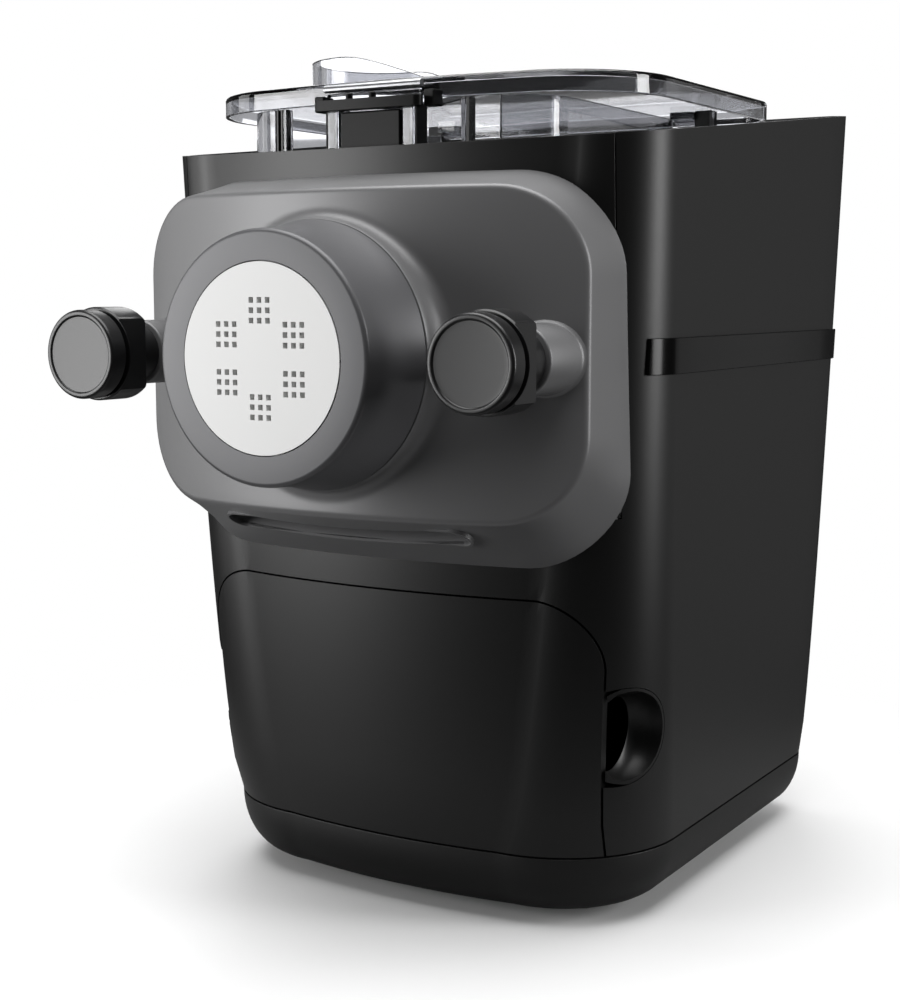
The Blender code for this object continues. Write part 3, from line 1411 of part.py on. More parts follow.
def extrusion_screw():
    end = SHAFT_FRONT - SEAT_GAP
    points = ((0, SCREW_TIP), (SCREW_CORE_RADIUS / 2, SCREW_TIP), (SCREW_CORE_RADIUS,
            SCREW_TIP + SCREW_CORE_RADIUS / 2),
              (SCREW_CORE_RADIUS, end), (0, end))
    core = turned("extrusion_screw", axis_profile(points), nozzle_point(0, 0), "y", 24)
    rings = []
    steps = round(SCREW_TURNS * SCREW_TURN_STEPS)
    inner = SCREW_CORE_RADIUS - SCREW_FLIGHT_SINK
    half = SCREW_FLIGHT_THICKNESS / 2
    first = SCREW_TIP + SCREW_CORE_RADIUS / 2 + half
    for i in range(steps + 1):
        angle = 2 * math.pi * i / SCREW_TURN_STEPS
        middle = first + SCREW_PITCH * i / SCREW_TURN_STEPS
        ring = []
        for radius, offset in ((inner, -half), (SCREW_FLIGHT_RADIUS, -half / 2),
                (SCREW_FLIGHT_RADIUS, half / 2), (inner, half)):
            ring.append(nozzle_point(radius * math.cos(angle), middle + offset, radius * math.sin(angle)))
        rings.append(ring)
    fuse(core, loft("screw_flight", rings))
    half = SOCKET_SIDE / 2
    low = nozzle_point(-half, end - SOCKET_DEPTH, -half)
    high = nozzle_point(half, end + CUT_OVERRUN, half)
    cut(core, box("screw_socket", low, high, cutter=True))
    set_origin(core, nozzle_point(0, SCREW_TIP))
    return place(core, WHITE)


def wire(name, points, radius):
    curve = bpy.data.curves.new(name, "CURVE")
    curve.dimensions = "3D"
    curve.bevel_depth = radius
    curve.bevel_resolution = 1
    curve.use_fill_caps = True
    spline = curve.splines.new("POLY")
    spline.points.add(len(points) - 1)
    for point, spot in zip(spline.points, points):
        point.co = (*spot, 1)
    obj = bpy.data.objects.new(name, curve)
    PARTS.objects.link(obj)
    return baked(obj)


def mixing_paddle():
    bore = SCREW_CORE_RADIUS + SEAT_GAP
    end = SHAFT_FRONT - GEAR_SIDE_PLAY
    points = ((bore, PADDLE_START), (PADDLE_HUB_RADIUS, PADDLE_START), (PADDLE_HUB_RADIUS, end),
            (bore, end))
    hub = turned("mixing_paddle", axis_profile(points), nozzle_point(0, 0), "y", 24)
    root = (bore + PADDLE_HUB_RADIUS) / 2
    start = PADDLE_START + PADDLE_WIRE_RADIUS * 2
    run = end - PADDLE_WIRE_RADIUS * 2 - start
    loops = []
    for loop in range(PADDLE_LOOPS):
        path = []
        turn = 360 * loop / PADDLE_LOOPS
        stations = [(root, 0.0), (PADDLE_REACH * 3 / 4, 0.0), (PADDLE_REACH, 1 / 12)]
        stations += [(PADDLE_REACH, i / 6) for i in range(1, 6)]
        stations += [(PADDLE_REACH, 11 / 12), (PADDLE_REACH * 3 / 4, 1.0), (root, 1.0)]
        for radius, share in stations:
            angle = math.radians(turn + PADDLE_REST_DEGREES + PADDLE_SWEEP_DEGREES * share)
            path.append(nozzle_point(radius * math.cos(angle), start + run * share,
                    radius * math.sin(angle)))
        loops.append(wire(f"paddle_loop_{loop}", path, PADDLE_WIRE_RADIUS))
    fuse(hub, *loops)
    set_origin(hub, nozzle_point(0, PADDLE_START))
    return place(hub, WHITE)


def shaft_ring(name, outer, start, end, finish, metallic=0.0):
    inner = SHAFT_RADIUS + SHAFT_PLAY
    points = ((inner, start), (outer, start), (outer, end), (inner, end))
    return place(turned(name, axis_profile(points), nozzle_point(0, 0), "y", 24), finish, metallic)


def bearing_and_seal():
    middle = BULKHEAD_SETBACK + BULKHEAD_THICKNESS / 2
    shaft_ring("output_bearing", BEARING_RADIUS, middle - BEARING_DEPTH / 2,
               BULKHEAD_SETBACK + BULKHEAD_THICKNESS, STEEL, 1.0)
    shaft_ring("shaft_seal", SEAL_RADIUS, CHAMBER_END - CHAMBER_WALL, CHAMBER_END, RUBBER)


# Chassis

SHELF_TOP = -CHAMBER_RADIUS - SEAT_GAP
FLOOR_SHELF_Z = SEAM_Z + SHELF_THICKNESS


def shelf(name, top_z):
    middle_z = top_z - SHELF_THICKNESS / 2
    ring = section_at_height(middle_z, WALL + CHASSIS_CLEARANCE)
    end = FRONT + BULKHEAD_SETBACK + BULKHEAD_THICKNESS / 2
    points = [(x, min(y, end)) for x, y, _ in ring]
    return flat_solid(name, points, SHELF_THICKNESS, (0, 0, middle_z))


def bulkhead_outline():
    """Front view of the bulkhead, inside the tapered walls and down to the base's floor."""
    bowl = BASE_TOP_Z - BASE_HEIGHT * BULKHEAD_BOWL_SHARE
    right = [(BOTTOM_HALF_WIDTH - BASE_INSET - 2 * WALL, FLOOR_Z + SEAT_GAP)]
    right.append((BOTTOM_HALF_WIDTH - 2 * WALL - CHASSIS_CLEARANCE, bowl))
    y = FRONT + BULKHEAD_SETBACK
    for share in BODY_LEVEL_SHARES[:-1]:
        z = mix(SEAM_Z, rim_z(y), share)
        half = max(x for x, _ in body_section(share)) - WALL - CHASSIS_CLEARANCE
        right.append((half, z))
    top = rim_z(y) - DECK_DROP - DECK_THICKNESS - SEAT_GAP
    right.append((right[-1][0], top))
    return right + [(-x, z) for x, z in reversed(right)]


def chassis():
    middle = FRONT + BULKHEAD_SETBACK + BULKHEAD_THICKNESS / 2
    wall = flat_solid("chassis", bulkhead_outline(), BULKHEAD_THICKNESS, (0, middle, 0), "y")
    uprights = []
    for side in (-1, 1):
        x = side * KNOB_X
        low = nozzle_point(x - UPRIGHT_WIDTH / 2, UPRIGHT_SETBACK, SHELF_TOP - SHELF_THICKNESS / 2)
        high = nozzle_point(x + UPRIGHT_WIDTH / 2, UPRIGHT_SETBACK + UPRIGHT_THICKNESS, UPRIGHT_RISE)
        uprights.append(box(f"upright_{side}", low, high))
    fuse(wall, shelf("upper_shelf", NOZZLE_HEIGHT + SHELF_TOP), shelf("lower_shelf", FLOOR_SHELF_Z),
            *uprights)
    cut(wall, cylinder("bearing_hole", BEARING_RADIUS + SEAT_GAP, 2 * BEARING_DEPTH,
                       nozzle_point(0, BULKHEAD_SETBACK), "y", 24, cutter=True))
    for side in (-1, 1):
        cut(wall, cylinder(f"upright_hole_{side}", STUD_END_RADIUS + STUD_HOLE_PLAY, 2 * UPRIGHT_WIDTH,
                           nozzle_point(side * KNOB_X, UPRIGHT_SETBACK), "y", 16, cutter=True))
    return place(wall, ZINC, metallic=0.8)


# Drawer and finger cups

def drawer_front():
    front = keep(wall_surface("drawer_front"), drawer_block("drawer_region", -SLIDE_GAP))
    set_origin(front, (0, DRAWER_FRONT_Y, SEAM_Z))
    return place(front, MATTE_BLACK)


def tray_section(z, inset):
    share = share_at(DRAWER_FRONT_Y, z)
    eased = share ** WIDTH_EASE_SHARE
    front = FRONT + mix(BOTTOM_SETBACK, TOP_SETBACK, eased) + WALL + TRAY_FRONT_GAP
    rear = FRONT + TRAY_END_SETBACK
    ring = section(TRAY_HALF_WIDTH - inset, front + inset, rear - inset, TRAY_CORNER - inset,
                   TRAY_CORNER / 2 - inset, FRONT_BOW_RADIUS)
    return [(x, y, z) for x, y in ring]


def drawer_tray():
    bottom = FLOOR_SHELF_Z + SLIDE_GAP
    top = NOZZLE_HEIGHT - DRAWER_TOP_DROP - TRAY_TOP_GAP
    rings = [
        tray_section(bottom, TRAY_EDGE),
        tray_section(bottom + TRAY_EDGE, 0.0),
        tray_section((bottom + top) / 2, 0.0),
        tray_section(top, 0.0),
    ]
    surface = loft("drawer_tray", rings, cap_first=True, cap_last=False)
    tray = solidify(surface, TRAY_WALL, (0, 0, (bottom + top) / 2))
    set_origin(tray, (0, DRAWER_FRONT_Y, SEAM_Z))
    return place(tray, KNOB_BLACK)


def drawer_keepout(name):
    """The drawer front with its clearance all round, as a cutter."""
    rings = [body_ring(share, -SLIDE_GAP) for share in BODY_LEVEL_SHARES]
    surface = loft(name, rings, cap_first=False, cap_last=False)
    thick = solidify(surface, WALL + 2 * SLIDE_GAP, (0, 0, NOZZLE_HEIGHT))
    keep(thick, drawer_block(f"{name}_region", SLIDE_GAP))
    PARTS.objects.unlink(thick)
    CUTTERS.objects.link(thick)
    thick.hide_render = True
    thick.display_type = "WIRE"
    return thick


def finger_cup(name, side):
    points = (
        (0, -FINGER_CUP_DEPTH),
        (FINGER_CUP_FLOOR_RADIUS, -FINGER_CUP_DEPTH),
        (FINGER_CUP_RADIUS - FINGER_CUP_WALL - FINGER_CUP_FILLET / 3, FINGER_CUP_FILLET - FINGER_CUP_DEPTH),
        (FINGER_CUP_RADIUS - FINGER_CUP_WALL, FINGER_CUP_FILLET * 2 - FINGER_CUP_DEPTH),
        (FINGER_CUP_RADIUS - FINGER_CUP_WALL, FINGER_CUP_STAND),
        (FINGER_CUP_RADIUS, FINGER_CUP_STAND),
        (FINGER_CUP_RADIUS, FINGER_CUP_FILLET - FINGER_CUP_DEPTH),
        (FINGER_CUP_FLOOR_RADIUS + FINGER_CUP_WALL, -FINGER_CUP_DEPTH - FINGER_CUP_WALL),
        (0, -FINGER_CUP_DEPTH - FINGER_CUP_WALL),
    )
    mirrored = [(radius, side * height) for radius, height in points]
    cup = turned(name, mirrored, cup_axis_point(side), "x", 28)
    keep(cup, body_volume(f"{name}_trim", SEAT_GAP / 3))
    cut(cup, drawer_keepout(f"{name}_keepout"))
    return place(cup, MATTE_BLACK)


# Top deck with the control panel

def deck_z(y, lift=0.0):
    return rim_z(y) - DECK_DROP + lift


def sloped_plate(name, points, low, high, cutter=False):
    """A flat plate parallel to the rim, between two lifts above the deck's top."""
    rings = [[(x, y, deck_z(y, lift)) for x, y in points] for lift in (low, high)]
    return loft(name, rings, cutter=cutter)


def deck_point(x, setback, lift=0.0):
    y = FRONT + setback
    return Vector((x, y, deck_z(y, lift)))


CONTROL_MIDDLE = (CONTROL_START + CONTROL_END) / 2


def button_holes(tag, radius):
    holes = []
    for name, x in BUTTON_PLACES:
        holes.append(cylinder(f"{tag}_{name}_hole", radius, 2 * BOARD_DROP, deck_point(x, CONTROL_MIDDLE),
                              "deck", 16, cutter=True))
    return holes


def top_deck():
    share = 1 - DECK_DROP / SEAM_DROP
    outline = body_section(share, WALL + SEAT_GAP)
    deck = sloped_plate("top_deck", outline, -DECK_THICKNESS, 0.0)
    lugs = []
    for side in (-1, 1):
        x = side * (HINGE_X + (HINGE_KNUCKLE_LENGTH + HINGE_LUG_LENGTH) / 2 + SEAT_GAP)
        foot = deck_point(x, HINGE_SETBACK, -DECK_THICKNESS / 2)
        low = foot - Vector((HINGE_LUG_LENGTH / 2, HINGE_LUG_WIDTH / 2, 0))
        high = nozzle_point(x, HINGE_SETBACK,
                HINGE_RISE + HINGE_KNUCKLE_RADIUS) + Vector((HINGE_LUG_LENGTH / 2, HINGE_LUG_WIDTH / 2, 0))
        lugs.append(box(f"hinge_lug_{side}", low, high))
    for x in (-POST_X, POST_X):
        for shift in (-POST_Y, POST_Y):
            top = deck_point(x, CONTROL_MIDDLE + shift, -DECK_THICKNESS / 2)
            length = BOARD_DROP - 2 * SEAT_GAP - DECK_THICKNESS / 2
            lugs.append(cylinder(f"post_{x > 0}_{shift > 0}", POST_RADIUS, length, top - Vector((0,
                    0, length / 2)), "z", 12))
    fuse(deck, *lugs)
    opening = rounded_rectangle((-DECK_OPENING_HALF_WIDTH, FRONT + DECK_OPENING_START),
                                (DECK_OPENING_HALF_WIDTH, FRONT + DECK_OPENING_END), CHAMBER_CORNER, 4)
    cut(deck, flat_solid("deck_opening", opening, 2 * LID_TOP_RISE, (0, 0,
            NOZZLE_HEIGHT + LID_TOP_RISE), cutter=True))
    cut(deck, cylinder("hinge_pin_hole", HINGE_PIN_RADIUS + SHAFT_PLAY, OVERALL_DEPTH,
                       nozzle_point(0, HINGE_SETBACK, HINGE_RISE), "x", 16, cutter=True))
    cut(deck, *button_holes("deck", BUTTON_RADIUS + BUTTON_PLAY))
    return place(deck, MATTE_BLACK)


def plate_outline(half_width, middle, length, corner):
    start, end = FRONT + middle - length / 2, FRONT + middle + length / 2
    return rounded_rectangle((-half_width, start), (half_width, end), corner, 4)


def control_panel():
    outline = plate_outline(CONTROL_HALF_WIDTH, CONTROL_MIDDLE, CONTROL_END - CONTROL_START, CONTROL_CORNER)
    plate = sloped_plate("control_panel", outline, SEAT_GAP, SEAT_GAP + CONTROL_THICKNESS)
    window = plate_outline(DISPLAY_HALF_WIDTH + SEAT_GAP, CONTROL_MIDDLE,
            DISPLAY_LENGTH + 2 * SEAT_GAP, CONTROL_CORNER / 4)
    cut(plate, sloped_plate("display_opening", window, -CUT_OVERRUN, CUT_OVERRUN, cutter=True))
    cut(plate, *button_holes("panel", BUTTON_RADIUS + BUTTON_PLAY))
    return place(plate, GLOSS_BLACK)


def display_window():
    outline = plate_outline(DISPLAY_HALF_WIDTH, CONTROL_MIDDLE, DISPLAY_LENGTH, CONTROL_CORNER / 4)
    return place(sloped_plate("display_window", outline, SEAT_GAP, SEAT_GAP + DISPLAY_THICKNESS),
            GLOSS_BLACK)


def control_board():
    outline = plate_outline(BOARD_HALF_WIDTH, CONTROL_MIDDLE, BOARD_LENGTH, CONTROL_CORNER / 2)
    return place(sloped_plate("control_board", outline, -BOARD_DROP - BOARD_THICKNESS, -BOARD_DROP),
            BOARD_GREEN)


def push_buttons():
    top = SEAT_GAP + CONTROL_THICKNESS + BUTTON_STAND
    bottom = -BOARD_DROP + BUTTON_TRAVEL + SEAT_GAP
    for name, x in BUTTON_PLACES:
        profile = ((0, top), (BUTTON_RADIUS - BUTTON_ROUND, top), (BUTTON_RADIUS, top - BUTTON_ROUND),
                   (BUTTON_RADIUS, bottom), (0, bottom))
        button = turned(name, profile, deck_point(x, CONTROL_MIDDLE), "deck", 16)
        set_origin(button, deck_point(x, CONTROL_MIDDLE))
        place(button, KNOB_BLACK)


# Lid, hinge and latch

def lid_ring(rise, inset):
    ring = section(LID_HALF_WIDTH - inset, FRONT + LID_START + inset,
            FRONT + LID_START + LID_LENGTH - inset,
                   LID_FRONT_CORNER - inset, LID_REAR_CORNER - inset, LID_BOW_RADIUS)
    return [(x, y, NOZZLE_HEIGHT + rise) for x, y in ring]


def collar_outline(radius, tip_x):
    """A circle drawn out to a point on the +X side."""
    reach = tip_x - COLLAR_X
    half = math.degrees(math.acos(radius / reach))
    points = arc(COLLAR_X, FRONT + COLLAR_SETBACK, radius, half, 360 - half, COLLAR_STEPS)
    return points + [(tip_x, FRONT + COLLAR_SETBACK)]


def collar_rise(x):
    """The collar's height: level over the circle, then easing down to the tip."""
    share = min(1.0, max(0.0, (COLLAR_TIP_X - x) / (COLLAR_TIP_X - COLLAR_X)))
    return COLLAR_RISE * share * share * (3 - 2 * share)


def collar_outlines():
    outer = collar_outline(COLLAR_RADIUS, COLLAR_TIP_X)
    reach = COLLAR_TIP_X - COLLAR_X
    inner_radius = COLLAR_RADIUS - COLLAR_WALL
    inner = collar_outline(inner_radius, COLLAR_X + reach * inner_radius / COLLAR_RADIUS)
    return outer, inner


def inlet_collar():
    outer, inner = collar_outlines()
    foot = NOZZLE_HEIGHT + LID_TOP_RISE - LID_WALL / 2
    head = NOZZLE_HEIGHT + LID_TOP_RISE + COLLAR_LIP
    rings = [
        [(x, y, foot) for x, y in outer],
        [(x, y, head + collar_rise(x)) for x, y in outer],
        [(x, y, head + collar_rise(x)) for x, y in inner],
        [(x, y, foot) for x, y in inner],
    ]
    return loft("inlet_collar", rings + rings[:1], cap_first=False, cap_last=False)


def lid():
    rings = [
        lid_ring(LID_BOTTOM_RISE, 0.0),
        lid_ring(LID_TOP_RISE - LID_EDGE_ROUND, 0.0),
        lid_ring(LID_TOP_RISE, LID_EDGE_ROUND),
    ]
    surface = loft("lid", rings, cap_first=False, cap_last=True)
    cover = solidify(surface, LID_WALL, nozzle_point(0, LID_START + LID_LENGTH / 2, LID_BOTTOM_RISE))
    low = nozzle_point(-NOTCH_HALF_WIDTH, LID_START - CUT_OVERRUN, LID_BOTTOM_RISE - CUT_OVERRUN)
    high = nozzle_point(NOTCH_HALF_WIDTH, LID_START + NOTCH_DEPTH, LID_TOP_RISE + CUT_OVERRUN)
    cut(cover, box("latch_notch", low, high, cutter=True))
    outer, inner = collar_outlines()
    hole = flat_solid("collar_hole", inner, COLLAR_RISE, nozzle_point(0, -FRONT, LID_TOP_RISE), "z",
            cutter=True)
    cut(cover, hole)
    collar = inlet_collar()
    weld(collar)
    pieces = [collar]
    for side in (-1, 1):
        middle = nozzle_point(side * HINGE_X, HINGE_SETBACK, HINGE_RISE)
        pieces.append(cylinder(f"knuckle_{side}", HINGE_KNUCKLE_RADIUS, HINGE_KNUCKLE_LENGTH, middle,
                "x", 20))
        half = HINGE_KNUCKLE_LENGTH / 2
        low = nozzle_point(side * HINGE_X - half, LID_START + LID_LENGTH - LID_WALL / 2,
                HINGE_RISE - HINGE_KNUCKLE_RADIUS / 2)
        high = nozzle_point(side * HINGE_X + half, HINGE_SETBACK, HINGE_RISE + HINGE_KNUCKLE_RADIUS / 2)
        pieces.append(box(f"knuckle_web_{side}", low, high))
        x = side * LATCH_EAR_X
        half = LATCH_EAR_WIDTH / 2
        low = nozzle_point(x - half, LATCH_PIVOT_SETBACK - LATCH_EYE_RADIUS,
                LATCH_PIVOT_RISE - LATCH_EYE_RADIUS)
        high = nozzle_point(x + half, LID_START + NOTCH_DEPTH + LID_WALL, LID_TOP_RISE - LID_WALL / 2)
        pieces.append(box(f"latch_ear_{side}", low, high))
    fuse(cover, *pieces)
    cut(cover, cylinder("latch_pin_hole", LATCH_PIVOT_RADIUS + SHAFT_PLAY,
            2 * NOTCH_HALF_WIDTH - CUT_OVERRUN,
                        nozzle_point(0, LATCH_PIVOT_SETBACK, LATCH_PIVOT_RISE), "x", 12, cutter=True))
    cut(cover, cylinder("lid_pin_hole", HINGE_PIN_RADIUS + SHAFT_PLAY, OVERALL_DEPTH,
                        nozzle_point(0, HINGE_SETBACK, HINGE_RISE), "x", 16, cutter=True))
    set_origin(cover, nozzle_point(0, HINGE_SETBACK, HINGE_RISE))
    return place(cover, CLEAR_SMOKE, alpha=0.35)


def weld(obj):
    """Join points that lie on each other."""
    bm = bmesh.new()
    bm.from_mesh(obj.data)
    bmesh.ops.remove_doubles(bm, verts=bm.verts, dist=SEAT_GAP / 10)
    bmesh.ops.recalc_face_normals(bm, faces=bm.faces)
    bm.to_mesh(obj.data)
    bm.free()
    return obj


def hinge_pin(name, side):
    inner = HINGE_X - HINGE_KNUCKLE_LENGTH / 2
    outer = HINGE_X + HINGE_KNUCKLE_LENGTH / 2 + SEAT_GAP + HINGE_LUG_LENGTH
    centre = nozzle_point(side * (inner + outer) / 2, HINGE_SETBACK, HINGE_RISE)
    return place(cylinder(name, HINGE_PIN_RADIUS, outer - inner, centre, "x", 16), STEEL, metallic=1.0)


def latch_pin():
    length = 2 * LATCH_EAR_X + LATCH_EAR_WIDTH
    centre = nozzle_point(0, LATCH_PIVOT_SETBACK, LATCH_PIVOT_RISE)
    return place(cylinder("latch_pin", LATCH_PIVOT_RADIUS, length, centre, "x", 12), STEEL, metallic=1.0)


def lid_latch():
    low = nozzle_point(-LATCH_BAR_HALF_WIDTH, LATCH_SETBACK, LATCH_RISE)
    high = nozzle_point(LATCH_BAR_HALF_WIDTH, LATCH_SETBACK + LATCH_BAR_DEPTH,
            LATCH_RISE + LATCH_BAR_HEIGHT)
    bar = bevel(box("lid_latch", low, high), LATCH_BAR_HEIGHT / 5, 1)
    pieces = []
    for side in (-1, 1):
        half = LATCH_ARM_WIDTH / 2
        x = side * LATCH_ARM_X
        low = nozzle_point(x - half, LATCH_SETBACK + LATCH_BAR_DEPTH / 2, LATCH_RISE + LATCH_BAR_HEIGHT / 4)
        high = nozzle_point(x + half, LATCH_PIVOT_SETBACK, LATCH_PIVOT_RISE + LATCH_EYE_RADIUS / 3)
        pieces.append(box(f"latch_arm_{side}", low, high))
        middle = nozzle_point(x, LATCH_PIVOT_SETBACK, LATCH_PIVOT_RISE)
        pieces.append(cylinder(f"latch_eye_{side}", LATCH_EYE_RADIUS, LATCH_ARM_WIDTH, middle, "x", 14))
    low = nozzle_point(-LATCH_TAB_HALF_WIDTH, BLOCK_SETBACK - SLIDE_GAP - LATCH_TAB_THICKNESS,
            LATCH_RISE - LATCH_TAB_DROP)
    high = nozzle_point(LATCH_TAB_HALF_WIDTH, BLOCK_SETBACK - SLIDE_GAP, LATCH_RISE + LATCH_BAR_HEIGHT / 2)
    pieces.append(box("latch_tab", low, high))
    fuse(bar, *pieces)
    cut(bar, cylinder("latch_eye_hole", LATCH_PIVOT_RADIUS + SHAFT_PLAY, 2 * LATCH_BAR_HALF_WIDTH,
                      nozzle_point(0, LATCH_PIVOT_SETBACK, LATCH_PIVOT_RISE), "x", 12, cutter=True))
    set_origin(bar, nozzle_point(0, LATCH_PIVOT_SETBACK, LATCH_PIVOT_RISE))
    return place(bar, GLOSS_BLACK)


def latch_block():
    foot = deck_point(0, BLOCK_SETBACK + BLOCK_DEPTH, SEAT_GAP).z
    low = Vector((-BLOCK_HALF_WIDTH, FRONT + BLOCK_SETBACK, foot))
    high = nozzle_point(BLOCK_HALF_WIDTH, BLOCK_SETBACK + BLOCK_DEPTH, BLOCK_TOP_RISE)
    block = bevel(box("latch_block", low, high), BLOCK_RIB_HEIGHT / 2, 1)
    return place(block, GLOSS_BLACK)


# Power inlet in the rear cover

def power_inlet():
    centre = inlet_centre()
    half = Vector((INLET_WIDTH / 2, 0, INLET_HEIGHT / 2))
    frame = Vector((INLET_FRAME, 0, INLET_FRAME))
    body = box("power_inlet", centre - half - Vector((0, INLET_DEPTH, 0)), centre + half + Vector((0,
            SEAT_GAP + INLET_FRAME_THICKNESS / 2, 0)))
    plate = box("inlet_frame", centre - half - frame + Vector((0, SEAT_GAP, 0)),
                centre + half + frame + Vector((0, SEAT_GAP + INLET_FRAME_THICKNESS, 0)))
    fuse(body, bevel(plate, INLET_FRAME_THICKNESS / 4, 1))
    wall = Vector((INLET_WALL, 0, INLET_WALL))
    cut(body, box("inlet_pocket", centre - half + wall - Vector((0, INLET_DEPTH - INLET_WALL, 0)),
                  centre + half - wall + Vector((0, CUT_OVERRUN, 0)), cutter=True))
    return place(body, GLOSS_BLACK)


def inlet_contacts():
    """Three blades on a carrier at the bottom of the inlet's pocket."""
    centre = inlet_centre()
    back = centre.y - INLET_DEPTH + INLET_WALL + SEAT_GAP
    half_width = INLET_WIDTH / 2 - INLET_WALL - SEAT_GAP
    half_height = INLET_HEIGHT / 2 - INLET_WALL - SEAT_GAP
    low = Vector((centre.x - half_width, back, centre.z - half_height))
    high = Vector((centre.x + half_width, back + INLET_CARRIER_THICKNESS, centre.z + half_height))
    carrier = box("inlet_contacts", low, high)
    blades = []
    for i, (x, z) in enumerate(((-INLET_PIN_PITCH, -INLET_PIN_DROP), (INLET_PIN_PITCH,
            -INLET_PIN_DROP), (0, INLET_PIN_DROP))):
        start = Vector((centre.x + x - INLET_PIN_SIDE / 2, back + INLET_CARRIER_THICKNESS / 2,
                centre.z + z - INLET_PIN_HEIGHT / 2))
        size = Vector((INLET_PIN_SIDE, INLET_PIN_LENGTH, INLET_PIN_HEIGHT))
        blades.append(box(f"blade_{i}", start, start + size))
    return place(fuse(carrier, *blades), BRASS, metallic=1.0)


def build():
    body_shell()
    front_fascia()
    rear_cover()
    side_band()
    base_cover()
    feet_and_cells()
    chassis()
    top_deck()
    control_panel()
    display_window()
    control_board()
    push_buttons()
    front_panel()
    for name, side in (("left", -1), ("right", 1)):
        knob(f"knob_{name}", side)
        stud(f"knob_stud_{name}", side)
        finger_cup(f"finger_cup_{name}", side)
        hinge_pin(f"lid_hinge_pin_{name}", side)
        stud_nut(f"stud_nut_{name}", side)
    shaping_disc()
    disc_ring()
    extrusion_tube()
    chamber_seal()
    mixing_chamber()
    extrusion_screw()
    mixing_paddle()
    output_shaft()
    output_gear()
    intermediate_gear()
    intermediate_pin()
    motor_pinion()
    motor_shaft()
    motor()
    cooling_fan()
    gearbox_housing()
    bearing_and_seal()
    drawer_front()
    drawer_tray()
    lid()
    lid_latch()
    latch_pin()
    latch_block()
    power_inlet()
    inlet_contacts()


build()
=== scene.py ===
import math

import bmesh
import bpy
from mathutils import Matrix, Vector


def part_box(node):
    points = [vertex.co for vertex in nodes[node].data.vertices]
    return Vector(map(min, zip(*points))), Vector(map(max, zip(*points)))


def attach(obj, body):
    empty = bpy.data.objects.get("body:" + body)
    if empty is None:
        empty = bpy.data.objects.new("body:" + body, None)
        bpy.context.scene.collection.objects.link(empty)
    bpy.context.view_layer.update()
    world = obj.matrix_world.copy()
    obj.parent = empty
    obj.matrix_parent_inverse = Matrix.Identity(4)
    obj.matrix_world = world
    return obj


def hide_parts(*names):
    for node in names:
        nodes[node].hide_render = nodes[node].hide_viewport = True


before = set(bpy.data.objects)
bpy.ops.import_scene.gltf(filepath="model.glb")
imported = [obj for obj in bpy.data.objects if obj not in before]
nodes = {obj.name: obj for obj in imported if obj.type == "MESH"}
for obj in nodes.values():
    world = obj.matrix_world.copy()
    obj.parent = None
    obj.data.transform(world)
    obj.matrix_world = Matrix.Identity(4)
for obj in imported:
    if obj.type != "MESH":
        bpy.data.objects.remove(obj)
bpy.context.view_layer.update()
print("stage: frame loaded")

mm = 0.001
scene = bpy.context.scene
front = -0.1555
nozzleZ = 0.225
housing = "housing"

# Helper collection for Boolean cutters, which aren't shown
toolBox = bpy.data.collections.new("tools")
scene.collection.children.link(toolBox)


def link(obj, shown=True):
    if shown:
        scene.collection.objects.link(obj)
    else:
        toolBox.objects.link(obj)
        obj.hide_render = True
        obj.hide_viewport = True
    return obj


def meshObject(name, bm, shown=True, angle=32):
    bmesh.ops.recalc_face_normals(bm, faces=bm.faces)
    mesh = bpy.data.meshes.new(name)
    bm.to_mesh(mesh)
    bm.free()
    mesh.shade_smooth()
    mesh.set_sharp_from_angle(angle=math.radians(angle))
    return link(bpy.data.objects.new(name, mesh), shown)


def loft(name, rings, capFirst=False, capLast=False, closed=True, shown=True, angle=32, loop=False):
    bm = bmesh.new()
    rows = [[bm.verts.new(p) for p in ring] for ring in rings]
    count = len(rings[0])
    spans = count if closed else count - 1
    pairs = list(zip(rows, rows[1:]))
    if loop:
        pairs.append((rows[-1], rows[0]))
    for lower, upper in pairs:
        for i in range(spans):
            j = (i + 1) % count
            bm.faces.new((lower[i], lower[j], upper[j], upper[i]))
    if capFirst:
        bm.faces.new(rows[0])
    if capLast:
        bm.faces.new(rows[-1])
    return meshObject(name, bm, shown, angle)


def baked(obj, angle=32):
    bpy.context.view_layer.update()
    graph = bpy.context.evaluated_depsgraph_get()
    mesh = bpy.data.meshes.new_from_object(obj.evaluated_get(graph), depsgraph=graph)
    obj.modifiers.clear()
    obj.data = mesh
    mesh.shade_smooth()
    mesh.set_sharp_from_angle(angle=math.radians(angle))
    return obj


def solidify(obj, thickness, inside):
    bm = bmesh.new()
    bm.from_mesh(obj.data)
    away = sum(f.calc_area() * f.normal.dot(f.calc_center_median() - Vector(inside)) for f in bm.faces)
    if away < 0:
        bmesh.ops.reverse_faces(bm, faces=bm.faces)
    bm.to_mesh(obj.data)
    bm.free()
    shell = obj.modifiers.new("shell", "SOLIDIFY")
    shell.thickness = thickness
    shell.offset = -1
    shell.use_even_offset = True
    shell.use_quality_normals = True
    return baked(obj)


def boolean(obj, other, operation="DIFFERENCE"):
    step = obj.modifiers.new("cut", "BOOLEAN")
    step.operation = operation
    step.object = other
    step.solver = "EXACT"
    return obj


def cutAll(obj, *others, angle=32):
    for other in others:
        boolean(obj, other)
    return baked(obj, angle)


def softEdges(obj, width=0.3 * mm, segments=2, angle=38):
    bevel = obj.modifiers.new("soft edges", "BEVEL")
    bevel.width = width
    bevel.segments = segments
    bevel.limit_method = "ANGLE"
    bevel.angle_limit = math.radians(angle)
    bevel.harden_normals = True
    return obj


